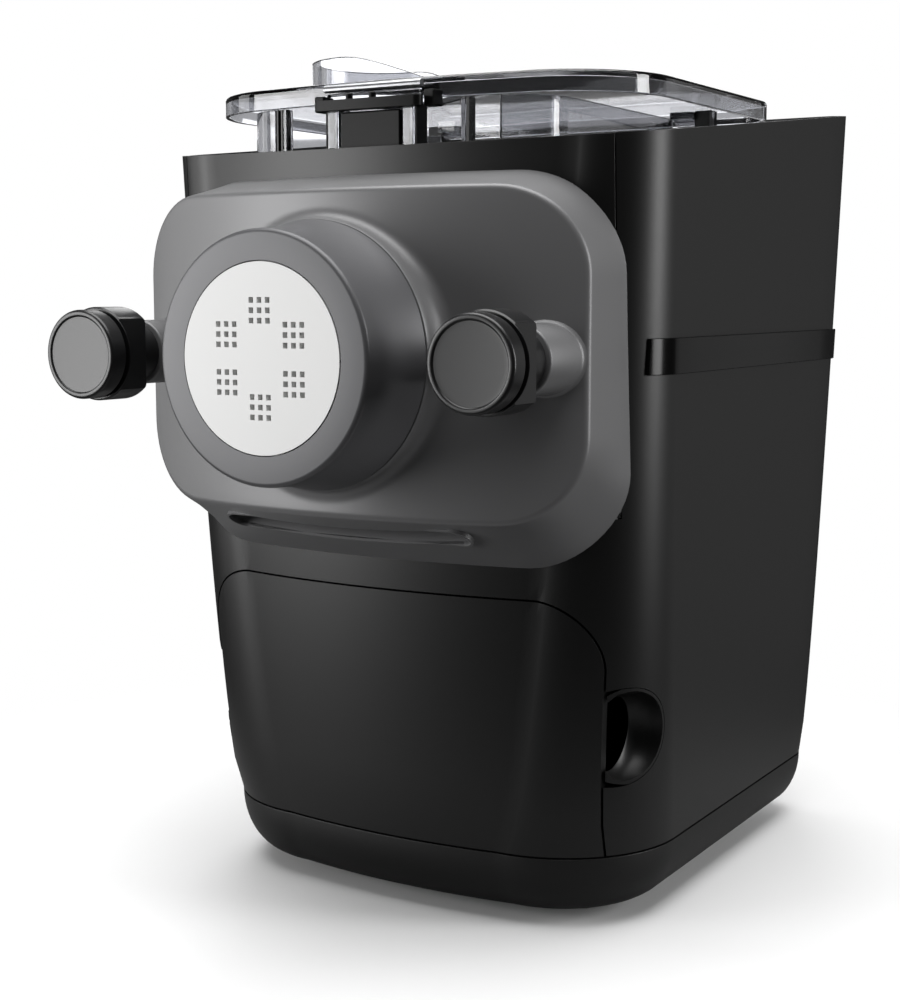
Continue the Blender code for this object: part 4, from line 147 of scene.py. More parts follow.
def box(name, low, high, shown=False):
    bm = bmesh.new()
    size = Vector(high) - Vector(low)
    middle = (Vector(high) + Vector(low)) / 2
    bmesh.ops.create_cube(bm, size=1, matrix=Matrix.Translation(middle) @ Matrix.Diagonal((*size, 1)))
    return meshObject(name, bm, shown)


turns = {"z": Matrix.Identity(4), "y": Matrix.Rotation(math.pi / 2, 4, "X"), "x": Matrix.Rotation(math.pi / 2, 4, "Y")}


def rod(name, radius, length, middle, axis="y", steps=64, shown=False):
    bm = bmesh.new()
    bmesh.ops.create_cone(bm, cap_ends=True, segments=steps, radius1=radius, radius2=radius, depth=length,
                          matrix=Matrix.Translation(middle) @ turns[axis])
    return meshObject(name, bm, shown)


def turned(name, profile, centre, axis="y", steps=128, shown=True, angle=32):
    matrix = Matrix.Translation(centre) @ turns[axis]
    closed = profile[0][0] > 0
    rings = []
    for radius, height in profile:
        ring = []
        for i in range(steps):
            a = 2 * math.pi * i / steps
            ring.append(matrix @ Vector((radius * math.cos(a), radius * math.sin(a), height)))
        rings.append(ring)
    if closed:
        obj = loft(name, rings, shown=shown, angle=angle, loop=True)
    else:
        obj = loft(name, rings[1:-1], capFirst=True, capLast=True, shown=shown, angle=angle)
    return obj


def flatSolid(name, points, thickness, centre, axis="y", holes=(), shown=False, matrix=None):
    curve = bpy.data.curves.new(name, "CURVE")
    curve.dimensions = "2D"
    curve.fill_mode = "BOTH"
    curve.extrude = thickness / 2
    for outline in (points, *holes):
        spline = curve.splines.new("POLY")
        spline.points.add(len(outline) - 1)
        for point, spot in zip(spline.points, outline):
            point.co = (spot[0], spot[1], 0, 1)
        spline.use_cyclic_u = True
    temporary = bpy.data.objects.new(name, curve)
    scene.collection.objects.link(temporary)
    bpy.context.view_layer.update()
    graph = bpy.context.evaluated_depsgraph_get()
    mesh = bpy.data.meshes.new_from_object(temporary.evaluated_get(graph), depsgraph=graph)
    mesh.transform(matrix or Matrix.Translation(centre) @ turns[axis])
    bpy.data.objects.remove(temporary, do_unlink=True)
    bm = bmesh.new()
    bm.from_mesh(mesh)
    bmesh.ops.remove_doubles(bm, verts=bm.verts, dist=0.002 * mm)
    return meshObject(name, bm, shown)


def arc(cx, cy, radius, start, end, steps):
    out = []
    for i in range(steps + 1):
        a = math.radians(start + (end - start) * i / steps)
        out.append((cx + radius * math.cos(a), cy + radius * math.sin(a)))
    return out


def bezier(a, b, c, steps):
    out = []
    for i in range(steps + 1):
        t = i / steps
        out.append(tuple((1 - t) ** 2 * p + 2 * t * (1 - t) * q + t * t * r for p, q, r in zip(a, b, c)))
    return out


def mix(a, b, t):
    return a + (b - a) * t


def roundedRect(low, high, radius, steps=8):
    out = []
    for cx, cy, start in ((high[0] - radius, high[1] - radius, 0), (low[0] + radius, high[1] - radius, 90),
                          (low[0] + radius, low[1] + radius, 180), (high[0] - radius, low[1] + radius, 270)):
        out += arc(cx, cy, radius, start, start + 90, steps)
    return out


# Materials: one helper adds and wires a node, one turns a hex colour to linear

def hexColour(text):
    values = [int(text[i:i + 2], 16) / 255 for i in (0, 2, 4)]
    return tuple(v / 12.92 if v <= 0.04045 else ((v + 0.055) / 1.055) ** 2.4 for v in values)


def addNode(tree, kind, inputs=None, **settings):
    node = tree.nodes.new(kind)
    for key, value in settings.items():
        setattr(node, key, value)
    for key, value in (inputs or {}).items():
        if isinstance(value, bpy.types.NodeSocket):
            tree.links.new(value, node.inputs[key])
        else:
            node.inputs[key].default_value = value
    return node


def mouldedPlastic(name, colour, roughness, grain=0.12, bump=0.05, spread=0.06, coat=0.0, metallic=0.0, specular=0.5):
    mat = bpy.data.materials.new(name)
    mat.use_nodes = True
    tree = mat.node_tree
    shader = tree.nodes["Principled BSDF"]
    place = addNode(tree, "ShaderNodeTexCoord")
    fine = addNode(tree, "ShaderNodeTexNoise", {"Vector": place.outputs["Object"], "Scale": 1 / (grain * mm), "Detail": 3.0, "Roughness": 0.6})
    wide = addNode(tree, "ShaderNodeTexNoise", {"Vector": place.outputs["Object"], "Scale": 1 / (45 * mm), "Detail": 2.0})
    base = hexColour(colour)
    tone = addNode(tree, "ShaderNodeMapRange", {"Value": wide.outputs["Fac"], "From Min": 0.3, "From Max": 0.7,
                                                "To Min": 1 - spread / 2, "To Max": 1 + spread / 2})
    tint = addNode(tree, "ShaderNodeVectorMath", {0: base, "Scale": tone.outputs["Result"]}, operation="SCALE")
    tree.links.new(tint.outputs["Vector"], shader.inputs["Base Color"])
    rough = addNode(tree, "ShaderNodeMapRange", {"Value": fine.outputs["Fac"], "From Min": 0.25, "From Max": 0.75,
                                                 "To Min": max(0.02, roughness - 0.04), "To Max": roughness + 0.04})
    tree.links.new(rough.outputs["Result"], shader.inputs["Roughness"])
    relief = addNode(tree, "ShaderNodeBump", {"Height": fine.outputs["Fac"], "Strength": bump, "Distance": 0.05 * mm})
    tree.links.new(relief.outputs["Normal"], shader.inputs["Normal"])
    shader.inputs["Coat Weight"].default_value = coat
    shader.inputs["Metallic"].default_value = metallic
    shader.inputs["Specular IOR Level"].default_value = specular
    return mat


def clearPlastic(name, colour, roughness=0.03):
    mat = bpy.data.materials.new(name)
    mat.use_nodes = True
    tree = mat.node_tree
    shader = tree.nodes["Principled BSDF"]
    place = addNode(tree, "ShaderNodeTexCoord")
    wave = addNode(tree, "ShaderNodeTexNoise", {"Vector": place.outputs["Object"], "Scale": 1 / (30 * mm), "Detail": 1.0})
    relief = addNode(tree, "ShaderNodeBump", {"Height": wave.outputs["Fac"], "Strength": 0.12, "Distance": 0.4 * mm})
    tree.links.new(relief.outputs["Normal"], shader.inputs["Normal"])
    shader.inputs["Base Color"].default_value = (*hexColour(colour), 1)
    shader.inputs["Roughness"].default_value = roughness
    shader.inputs["Transmission Weight"].default_value = 1.0
    shader.inputs["IOR"].default_value = 1.49
    return mat


def turnedMetal(name, colour, roughness, axisScale=(1, 1, 1), grain=0.25):
    mat = bpy.data.materials.new(name)
    mat.use_nodes = True
    tree = mat.node_tree
    shader = tree.nodes["Principled BSDF"]
    place = addNode(tree, "ShaderNodeTexCoord")
    stretch = addNode(tree, "ShaderNodeMapping", {"Vector": place.outputs["Object"], "Scale": axisScale})
    lines = addNode(tree, "ShaderNodeTexNoise", {"Vector": stretch.outputs["Vector"], "Scale": 1 / (grain * mm), "Detail": 4.0})
    rough = addNode(tree, "ShaderNodeMapRange", {"Value": lines.outputs["Fac"], "To Min": roughness - 0.08, "To Max": roughness + 0.08})
    tree.links.new(rough.outputs["Result"], shader.inputs["Roughness"])
    relief = addNode(tree, "ShaderNodeBump", {"Height": lines.outputs["Fac"], "Strength": 0.08, "Distance": 0.05 * mm})
    tree.links.new(relief.outputs["Normal"], shader.inputs["Normal"])
    shader.inputs["Base Color"].default_value = (*hexColour(colour), 1)
    shader.inputs["Metallic"].default_value = 1.0
    return mat


looks = {
    "blackCasing": mouldedPlastic("matteBlackCasing", "050505", 0.40, grain=0.25, bump=0.08, specular=0.42),
    "blackBase": mouldedPlastic("matteBlackBase", "050505", 0.46, grain=0.25, bump=0.10, specular=0.36),
    "glossBand": mouldedPlastic("glossBlackBand", "050505", 0.16, grain=0.5, bump=0.01, specular=0.14),
    "glossPart": mouldedPlastic("glossBlackFitting", "060606", 0.26, grain=0.5, bump=0.02, specular=0.30),
    "anthracite": mouldedPlastic("satinAnthracitePaint", "6e6e6f", 0.42, grain=0.10, bump=0.04, metallic=0.25, spread=0.03),
    "ringGrey": mouldedPlastic("satinGreyRing", "565658", 0.42, grain=0.10, bump=0.04, metallic=0.25, spread=0.03),
    "knobBlack": mouldedPlastic("semiGlossKnob", "101011", 0.34, grain=0.4, bump=0.03),
    "knobDisc": mouldedPlastic("satinKnobDisc", "1a1a1c", 0.42, grain=0.4, bump=0.03),
    "latchBlack": mouldedPlastic("satinBlackLatch", "060606", 0.42, grain=0.4, bump=0.03, specular=0.16),
    "discWhite": mouldedPlastic("whiteAcetalDisc", "ededec", 0.40, grain=0.3, bump=0.03, spread=0.02),
    "clearSmoke": clearPlastic("clearSmokedPlastic", "a6a7ab"),
    "trayBlack": mouldedPlastic("matteBlackTray", "101011", 0.5, grain=0.3, bump=0.1),
    "rubber": mouldedPlastic("blackRubber", "121212", 0.8, grain=0.3, bump=0.2),
    "steel": turnedMetal("turnedSteel", "b9babd", 0.28, (1, 8, 1)),
    "zinc": mouldedPlastic("zincCasting", "9b9da0", 0.5, grain=0.4, bump=0.15, metallic=0.9),
    "gearWhite": mouldedPlastic("naturalNylon", "e2dfd2", 0.5, grain=0.3, bump=0.05),
    "board": mouldedPlastic("circuitBoardGreen", "1f6a3c", 0.45, grain=0.3, bump=0.05),
    "brass": turnedMetal("turnedBrass", "c9a45a", 0.3, (1, 6, 1)),
    "darkWindow": mouldedPlastic("darkDisplayWindow", "101113", 0.08, grain=1.0, bump=0.0),
}

nodeLooks = {
    "base_cover": "blackBase", "top_deck": "blackCasing", "drawer_front": "blackCasing", "finger_cup_left": "blackCasing",
    "finger_cup_right": "blackCasing", "body_shell": "blackCasing", "front_fascia": "blackCasing", "rear_cover": "blackCasing",
    "side_band": "glossBand", "control_panel": "glossPart", "display_window": "darkWindow", "lid_latch": "glossPart",
    "latch_block": "glossPart", "power_inlet": "glossPart", "cooling_fan": "glossPart", "front_panel": "anthracite",
    "disc_ring": "ringGrey", "extrusion_tube": "ringGrey", "knob_left": "knobBlack", "knob_right": "knobBlack",
    "power_button": "knobDisc", "weigh_button": "knobDisc", "program_button": "knobDisc", "start_button": "knobDisc",
    "shaping_disc": "discWhite", "extrusion_screw": "discWhite", "mixing_paddle": "discWhite", "lid": "clearSmoke",
    "mixing_chamber": "clearSmoke", "drawer_tray": "trayBlack", "chamber_seal": "rubber", "shaft_seal": "rubber",
    "chassis": "zinc", "gearbox_housing": "zinc", "motor": "zinc", "output_gear": "gearWhite", "intermediate_gear": "gearWhite",
    "control_board": "board", "motor_pinion": "brass", "inlet_contacts": "brass",
}
for name in nodes:
    if name.startswith("foot_"):
        nodeLooks[name] = "rubber"
    elif name.startswith("load_cell"):
        nodeLooks[name] = "zinc"
for name, obj in nodes.items():
    look = looks[nodeLooks.get(name, "steel")]
    obj.data.materials.clear()
    obj.data.materials.append(look)
print("stage: materials set")


def finish(obj, look, body, *replaced):
    obj.data.materials.clear()
    obj.data.materials.append(looks[look])
    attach(obj, body)
    if replaced:
        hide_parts(*replaced)
    return obj


# The body's tapered wall, from the same sizes as the part

body = {
    "topHalf": 0.1125, "bottomHalf": 0.1020, "topSetback": 0.0645, "bottomSetback": 0.0780, "rearInset": 0.0115,
    "topCorner": 0.028, "bottomCorner": 0.052, "rearCorner": 0.022, "bow": 0.310, "wall": 0.003, "ease": 0.6,
    "seamZ": nozzleZ - 0.1938, "rimFront": 0.0778, "rimRear": 0.1053, "rimFrontY": front + 0.0645, "rimRearY": 0.1555,
}
rimSlope = (body["rimRear"] - body["rimFront"]) / (body["rimRearY"] - body["rimFrontY"])


def rimZ(y):
    return nozzleZ + body["rimFront"] + rimSlope * (y - body["rimFrontY"])


def bowDepth(x, radius):
    return radius - math.sqrt(radius * radius - x * x)


def section(half, start, rear, corner, rearCorner, bow, steps=(14, 22, 10, 12, 6)):
    edge = half - corner
    out = []
    for i in range(steps[0]):
        x = edge * i / steps[0]
        out.append((x, start + bowDepth(x, bow)))
    cornerY = start + bowDepth(edge, bow) + corner
    out += arc(edge, cornerY, corner, -90, 0, steps[1])
    rearStart = rear - rearCorner
    for i in range(1, steps[2]):
        out.append((half, mix(cornerY, rearStart, i / steps[2])))
    out += arc(half - rearCorner, rearStart, rearCorner, 0, 90, steps[3])
    for i in range(1, steps[4] + 1):
        out.append(((half - rearCorner) * (1 - i / steps[4]), rear))
    return out + [(-x, y) for x, y in reversed(out[1:-1])]


def bodySection(share, inset=0.0):
    eased = share ** body["ease"] if share > 0 else 0.0
    corner = mix(body["bottomCorner"], body["topCorner"], eased)
    return section(mix(body["bottomHalf"], body["topHalf"], eased) - inset,
                   front + mix(body["bottomSetback"], body["topSetback"], eased) + inset,
                   -front - mix(body["rearInset"], 0.0, share) - inset, corner - inset, body["rearCorner"] - inset, body["bow"])


def bodyRing(share, inset=0.0):
    return [(x, y, mix(body["seamZ"], rimZ(y), share)) for x, y in bodySection(share, inset)]


def shareAt(y, z):
    return min(1.0, max(0.0, (z - body["seamZ"]) / (rimZ(y) - body["seamZ"])))


def sectionAt(z, inset=0.0):
    ring = bodySection(shareAt(0.03, z), inset)
    for _ in range(3):
        ring = [bodySection(shareAt(y, z), inset)[i] for i, (x, y) in enumerate(ring)]
    return [(x, y, z) for x, y in ring]


levels = [i / 20 for i in range(21)]


def wall(name, inset=0.0, thickness=None):
    surface = loft(name, [bodyRing(s, inset) for s in levels])
    return solidify(surface, thickness or body["wall"], (0, 0, nozzleZ))


seam = 0.5 * mm
fascia = {"half": 0.0985, "bottom": nozzleZ - 0.060, "depth": 0.060}


def fasciaBlock(name, gap):
    return box(name, (-fascia["half"] - gap, front, fascia["bottom"] - gap),
               (fascia["half"] + gap, body["rimFrontY"] + fascia["depth"], rimZ(body["rimRearY"]) + 0.006))


def rearBlock(name, gap):
    side = body["topHalf"] + 0.006
    rings = []
    for z in (0.0, rimZ(body["rimRearY"]) + 0.006):
        share = (z - body["seamZ"]) / (rimZ(body["rimRearY"]) - body["seamZ"])
        y = -front - mix(body["rearInset"], 0.0, share) - 0.0105 - gap
        rings.append([(-side, y, z), (side, y, z), (side, -front + 0.006, z), (-side, -front + 0.006, z)])
    return loft(name, rings, True, True, shown=False)


drawer = {"top": nozzleZ - 0.0920, "halfTop": 0.0925, "halfBottom": 0.0880, "corner": 0.0260, "depth": 0.0500,
          "frontY": front + 0.0645}


def drawerBlock(name, gap):
    corner = drawer["corner"] + gap
    right = [(drawer["halfBottom"] + gap, body["seamZ"] - 0.006)]
    right += arc(drawer["halfTop"] + gap - corner, drawer["top"] + gap - corner, corner, 0, 90, 24)
    points = right + [(-x, z) for x, z in reversed(right)]
    return flatSolid(name, points, drawer["depth"], (0, drawer["frontY"] + drawer["depth"] / 2, 0))


cup = {"radius": 0.0195, "depth": 0.0150, "wall": 0.0018, "x": 0.1035, "y": front + 0.0960, "z": nozzleZ - 0.1450}
tubeHole = 0.0425
knob = {"x": 0.0853, "stud": 0.0050}


def buildCasing():
    shell = wall("casingShell")
    cutters = [fasciaBlock("fasciaOpening", 0.0), rearBlock("rearOpening", 0.0), drawerBlock("drawerOpening", 0.4 * mm)]
    for side in (-1, 1):
        cutters.append(rod(f"cupHole{side}", cup["radius"] + 0.3 * mm, cup["x"] / 2, (side * cup["x"], cup["y"], cup["z"]), "x", 72))
    cutAll(shell, *cutters)
    finish(softEdges(shell, 0.25 * mm), "blackCasing", housing, "body_shell")
    top = wall("casingFascia")
    boolean(top, fasciaBlock("fasciaRegion", -seam), "INTERSECT")
    cutAll(top, rod("fasciaHole", tubeHole, fascia["depth"], (0, body["rimFrontY"], nozzleZ), steps=72))
    finish(softEdges(top, 0.25 * mm), "blackCasing", housing, "front_fascia")
    rear = wall("casingRear")
    boolean(rear, rearBlock("rearRegion", -seam), "INTERSECT")
    vents = []
    for i in range(7):
        z = nozzleZ - 0.0620 - i * 0.0080
        vents.append(box(f"ventSlot{i}", (-0.035, -front - 0.021, z - 0.0013), (0.035, -front + 0.006, z + 0.0013)))
    low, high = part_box("power_inlet")
    frameInset = 0.0035 - 0.0003
    vents.append(box("inletOpening", (low[0] + frameInset, low[1] + 0.010, low[2] + frameInset),
                     (high[0] - frameInset, high[1] + 0.010, high[2] - frameInset)))
    cutAll(rear, *vents)
    finish(softEdges(rear, 0.25 * mm), "blackCasing", housing, "rear_cover")
    for side, tag in ((-1, "Left"), (1, "Right")):
        profile = [(0, -cup["depth"]), (0.0060, -cup["depth"] + 0.3 * mm), (0.0110, -cup["depth"] + 1.4 * mm), (0.0150, -cup["depth"] + 3.6 * mm),
                   (0.0176, -cup["depth"] + 7.2 * mm), (0.0184, -0.0030), (0.0184, 0.0060), (cup["radius"], 0.0060),
                   (cup["radius"], -0.0065), (0.0170, -cup["depth"] + 1.2 * mm), (0.0120, -cup["depth"] - 1.0 * mm), (0, -cup["depth"] - cup["wall"])]
        dish = turned(f"fingerDish{tag}", [(r, side * h) for r, h in profile], (side * cup["x"], cup["y"], cup["z"]), "x", 72)
        boolean(dish, loft(f"dishTrim{tag}", [bodyRing(s) for s in levels], True, True, shown=False), "INTERSECT")
        cutAll(dish, drawerBlock(f"dishClear{tag}", 0.9 * mm))
        finish(softEdges(dish, 0.3 * mm, 2, 45), "blackCasing", housing, f"finger_cup_{tag.lower()}")
    door = wall("drawerSkin")
    boolean(door, drawerBlock("drawerRegion", -0.4 * mm), "INTERSECT")
    baked(door)
    finish(softEdges(door, 0.3 * mm), "blackCasing", "drawer", "drawer_front")


def buildBand():
    rings = [sectionAt(z, -1.2 * mm) for z in (nozzleZ - 0.0070, nozzleZ + 0.0065)]
    strip = solidify(loft("bandStrip", rings), 0.9 * mm, (0, 0, nozzleZ))
    cutAll(strip, box("bandCut", (-0.13, front, 0), (0.13, front + 0.0925, 0.4)))
    finish(softEdges(strip, 0.3 * mm), "glossBand", housing, "side_band")


base = {"top": body["seamZ"] - 0.5 * mm - 0.3 * mm, "height": 0.0255, "inset": 0.018}


def buildBase():
    rings = []
    for i in range(19):
        a = math.pi / 2 * i / 18
        share = math.sin(a)
        rings.append([(x, y, base["top"] - base["height"] * share)
                      for x, y in bodySection(0, base["inset"] * (1 - math.cos(a)))])
    bowl = loft("baseBowl", rings, capLast=True)
    solidify(bowl, 3 * mm, (0, 0, base["top"]))
    finish(softEdges(bowl, 0.3 * mm, angle=60), "blackBase", housing, "base_cover")


# Front panel

panel = {"faceSetback": 0.0365, "bow": 0.228, "faceHalf": 0.0996, "faceTop": 0.0608, "faceDrop": 0.0595, "faceCorner": 0.0318,
         "edge": 0.0019, "rearHalf": 0.1012, "rearTop": 0.0675, "rearDrop": 0.0800, "rearCorner": 0.037, "wall": 0.0028,
         "bossSetback": 0.0313, "bossRadius": 0.0500, "bossFoot": 0.0555, "bore": 0.0400, "rays": 216, "skin": 0.0011}


def rayLength(a, half, top, drop, corner):
    dx, dz = abs(math.cos(a)), math.sin(a)
    height = top if dz >= 0 else drop
    dz = abs(dz)
    reach = min(half / dx if dx > 1e-6 else 1e6, height / dz if dz > 1e-6 else 1e6)
    cx, cz = half - corner, height - corner
    if dx * reach > cx and dz * reach > cz:
        along = dx * cx + dz * cz
        reach = along + math.sqrt(max(0.0, along * along - cx * cx - cz * cz + corner * corner))
    return reach


def faceDepth(x):
    return front + panel["faceSetback"] + x * x / (2 * panel["bow"])


def wallDepth(x, z):
    y = body["rimFrontY"]
    for _ in range(3):
        ring = bodySection(shareAt(y, nozzleZ + z))
        y = ring[0][1]
        for (x0, y0), (x1, y1) in zip(ring, ring[1:]):
            if x0 <= abs(x) <= x1 and x1 > x0:
                y = mix(y0, y1, (abs(x) - x0) / (x1 - x0))
                break
    return y


def panelRing(half, top, drop, corner, depth):
    out = []
    for i in range(panel["rays"]):
        a = 2 * math.pi * i / panel["rays"]
        reach = rayLength(a, half, top, drop, corner)
        x, z = reach * math.cos(a), reach * math.sin(a)
        out.append((x, depth(x, z), nozzleZ + z))
    return out


def circleRing(radius, y):
    out = []
    for i in range(panel["rays"]):
        a = 2 * math.pi * i / panel["rays"]
        out.append((radius * math.cos(a), y, nozzleZ + radius * math.sin(a)))
    return out


def between(p, q, t):
    return tuple(mix(a, b, t) for a, b in zip(p, q))


def buildPanel():
    rear = panelRing(panel["rearHalf"], panel["rearTop"], panel["rearDrop"], panel["rearCorner"],
                     lambda x, z: wallDepth(x, z) + 0.6 * mm)
    edge = panelRing(panel["faceHalf"], panel["faceTop"], panel["faceDrop"], panel["faceCorner"], lambda x, z: faceDepth(x))
    e = panel["edge"]
    inner = panelRing(panel["faceHalf"] - e, panel["faceTop"] - e, panel["faceDrop"] - e, panel["faceCorner"] - e,
                      lambda x, z: faceDepth(x))
    below = [between(a, b, e / math.dist(a, b)) for a, b in zip(edge, rear)]
    rings = [[between(a, b, t) for a, b in zip(rear, below)] for t in (0, 0.2, 0.4, 0.6, 0.8)]
    fillet = [bezier(a, b, c, 8) for a, b, c in zip(below, edge, inner)]
    rings += [[row[i] for row in fillet] for i in range(9)]
    foot = [(x, faceDepth(x), z) for x, _, z in circleRing(panel["bossFoot"], 0)]
    for t in (0.25, 0.5, 0.75):
        rings.append([(mix(a[0], b[0], t), faceDepth(mix(a[0], b[0], t)), mix(a[2], b[2], t)) for a, b in zip(inner, foot)])
    corner = []
    for (x, y, z) in foot:
        r = math.hypot(x, z - nozzleZ)
        k = (panel["bossRadius"] + 0.3 * mm) / r
        corner.append((x * k, faceDepth(x * k), nozzleZ + (z - nozzleZ) * k))
    top = circleRing(panel["bossRadius"], front + panel["bossSetback"] + 0.8 * mm)
    flare = [bezier(a, b, c, 12) for a, b, c in zip(foot, corner, top)]
    rings += [[row[i] for row in flare] for i in range(13)]
    rings.append(circleRing(panel["bossRadius"] - 0.25 * mm, front + panel["bossSetback"] + 0.25 * mm))
    rings.append(circleRing(panel["bossRadius"] - 0.8 * mm, front + panel["bossSetback"]))
    rings.append(circleRing(panel["bore"], front + panel["bossSetback"]))
    shell = loft("panelShell", rings)
    solidify(shell, panel["skin"], (0, 0, nozzleZ))
    low = Vector((0, wallDepth(0, -panel["rearDrop"]), -panel["rearDrop"]))
    high = Vector((0, faceDepth(0), -panel["faceDrop"]))
    along = (low - high).normalized()
    outward = along.cross(Vector((1, 0, 0)))
    turn = Matrix.Identity(4)
    for column, vector in enumerate((Vector((1, 0, 0)), outward, along, high + along * 0.0165 + Vector((0, 0, nozzleZ)))):
        turn.col[column][:3] = vector
    half, rise, depth = 0.055, 0.00575, 0.0085
    outline = arc(half - rise, 0, rise, -90, 90, 20) + arc(-half + rise, 0, rise, 90, 270, 20)
    lay = Matrix.Translation((0, (0.006 - depth) / 2, 0)) @ Matrix.Rotation(-math.pi / 2, 4, "X")
    slot = flatSolid("gripSlot", outline, depth + 0.006, None, matrix=turn @ lay)
    pocketWall = 1.0 * mm
    grown = arc(half - rise, 0, rise + pocketWall, -90, 90, 20) + arc(-half + rise, 0, rise + pocketWall, 90, 270, 20)
    inward = Matrix.Translation((0, -0.0018 - depth / 2, 0)) @ Matrix.Rotation(-math.pi / 2, 4, "X")
    pocket = flatSolid("gripPocket", grown, depth - 0.0018 + 2 * pocketWall, None, matrix=turn @ inward, shown=True)
    cutAll(pocket, slot)
    finish(pocket, "anthracite", housing)
    cutAll(shell, slot)
    finish(softEdges(shell, 0.5 * mm, 3, 50), "anthracite", housing, "front_panel")
    for side, tag in ((-1, "Left"), (1, "Right")):
        x = side * knob["x"]
        start = 0.0333
        steps = 96
        rings = []
        outer = 0.0125
        profile = [(outer - 0.8 * mm, 0), (outer - 0.25 * mm, 0.2 * mm), (outer, 0.8 * mm)]
        for radius, height in profile:
            rings.append([(x + radius * math.cos(2 * math.pi * i / steps), front + start + height,
                           nozzleZ + radius * math.sin(2 * math.pi * i / steps)) for i in range(steps)])
        for radius, back in ((outer, -1.6 * mm), (outer + 0.15 * mm, -0.9 * mm), (outer + 0.55 * mm, -0.35 * mm), (outer + 1.3 * mm, 0.05 * mm)):
            ring = []
            for i in range(steps):
                px = x + radius * math.cos(2 * math.pi * i / steps)
                ring.append((px, faceDepth(px) + back, nozzleZ + radius * math.sin(2 * math.pi * i / steps)))
            rings.append(ring)
        bore = knob["stud"] + 0.4 * mm
        rings.insert(0, [(x + bore * math.cos(2 * math.pi * i / steps), front + start,
                          nozzleZ + bore * math.sin(2 * math.pi * i / steps)) for i in range(steps)])
        rings.insert(0, [(x + bore * math.cos(2 * math.pi * i / steps), front + start + 0.012,
                          nozzleZ + bore * math.sin(2 * math.pi * i / steps)) for i in range(steps)])
        boss = loft(f"knobBoss{tag}", rings, angle=50)
        finish(boss, "anthracite", housing)


# Ring, disc and knobs

def buildRing():
    rear = 0.0309
    profile = [(0.0343, 0.0002)]
    profile += [(0.0343 + 0.6 * mm, 0.0002)]
    for radius, y in arc(0.0456 - 1.8 * mm, 0.0002 + 1.8 * mm, 1.8 * mm, -90, 0, 8):
        profile.append((radius, y))
    for radius, y in bezier((0.0456, 0.004), (0.0462, 0.018), (0.0496, rear), 14)[1:]:
        profile.append((radius, y))
    profile += [(0.0472, rear), (0.0432, 0.0100), (0.0390, 0.0100), (0.0390, rear), (0.0366, rear), (0.0366, 0.0026), (0.0343, 0.0026)]
    ring = turned("ringBarrel", [(r, -y) for r, y in profile], (0, front, nozzleZ), steps=160)
    finish(softEdges(ring, 0.25 * mm, 2, 45), "ringGrey", "disc_ring", "disc_ring")


def buildDisc():
    rim = arc(0, 0, 0.0340, 0, 360, 160)[:-1]
    holes = []
    half, pitch = 1.0 * mm, 3.6 * mm
    for group in range(6):
        a = math.pi / 2 + 2 * math.pi * group / 6
        cx, cz = 0.017 * math.cos(a), 0.017 * math.sin(a)
        for row in (-1, 0, 1):
            for column in (-1, 0, 1):
                x, z = cx + column * pitch, cz + row * pitch
                holes.append([(x - half, z - half), (x + half, z - half), (x + half, z + half), (x - half, z + half)])
    disc = flatSolid("discPlate", rim, 0.0054, (0, front + 0.0027, nozzleZ), holes=holes, shown=True)
    finish(softEdges(disc, 0.18 * mm, 2), "discWhite", housing, "shaping_disc")
    flange = turned("discFlange", [(0.0330, -0.0029), (0.0356, -0.0029), (0.0356, -0.0054), (0.0330, -0.0054)], (0, front, nozzleZ))
    finish(flange, "discWhite", housing)
    for side in (-1, 1):
        pin = turned(f"discKey{side}", [(0, 0.10 * mm), (0.55 * mm, 0.10 * mm), (0.8 * mm, -0.1 * mm), (0.8 * mm, -2 * mm), (0, -2 * mm)],
                     (side * 0.0333, front + 0.0002, nozzleZ), steps=24)
        finish(pin, "glossPart", housing)


def buildKnob(tag, side, bodyName):
    x = side * knob["x"]
    centre = (x, front, nozzleZ)
    profile = [(0, 0.0006), (0.0125, 0.0006), (0.0142, 0.0005)]
    profile += [(r, y) for r, y in arc(0.0150, 0.0008, 0.8 * mm, -150, -90, 3)]
    profile += [(r, y) for r, y in arc(0.0168 - 1.2 * mm, 1.2 * mm, 1.2 * mm, -90, 0, 6)]
    profile += [(0.0168, 0.0072), (0.0162, 0.0074), (0.0146, 0.0075), (0.0146, 0.0089), (0.0172, 0.0090), (0.0178, 0.0096)]
    profile += [(r, y) for r, y in arc(0.0178 - 1.4 * mm, 0.0240 - 1.4 * mm, 1.4 * mm, 0, 90, 5)]
    profile += [(0.0112, 0.0240), (0.0108, 0.0244), (0.0108, 0.0327), (0.0106, 0.0329), (0.0051, 0.0329), (0.0051, 0.0127), (0, 0.0127)]
    handle = turned(f"knobHandle{tag}", [(r, -y) for r, y in profile], centre, steps=96)
    cutters = []
    for way in (-1, 1):
        near, far = x + way * 0.0118, x + way * 0.0240
        cutters.append(box(f"knobFlat{tag}{way}", (min(near, far), front + 0.0092, nozzleZ - 0.02),
                           (max(near, far), front + 0.0260, nozzleZ + 0.02)))
    cutAll(handle, *cutters)
    finish(softEdges(handle, 0.35 * mm, 2, 34), "knobBlack", bodyName, f"knob_{tag.lower()}")


# Lid and chamber

lid = {"bottom": 0.0960, "top": 0.1040, "wall": 0.0024, "half": 0.1005, "start": 0.0765, "length": 0.1580, "corner": 0.0440,
       "rearCorner": 0.0140, "bow": 0.420}
collar = {"x": -0.0310, "y": front + 0.1240, "radius": 0.0280, "tip": 0.0190, "wall": 0.0022, "rise": 0.0125, "lip": 0.0004}


def lidRing(rise, inset):
    ring = section(lid["half"] - inset, front + lid["start"] + inset, front + lid["start"] + lid["length"] - inset,
                   lid["corner"] - inset, lid["rearCorner"] - inset, lid["bow"], (14, 24, 10, 16, 6))
    return [(x, y, nozzleZ + rise) for x, y in ring]


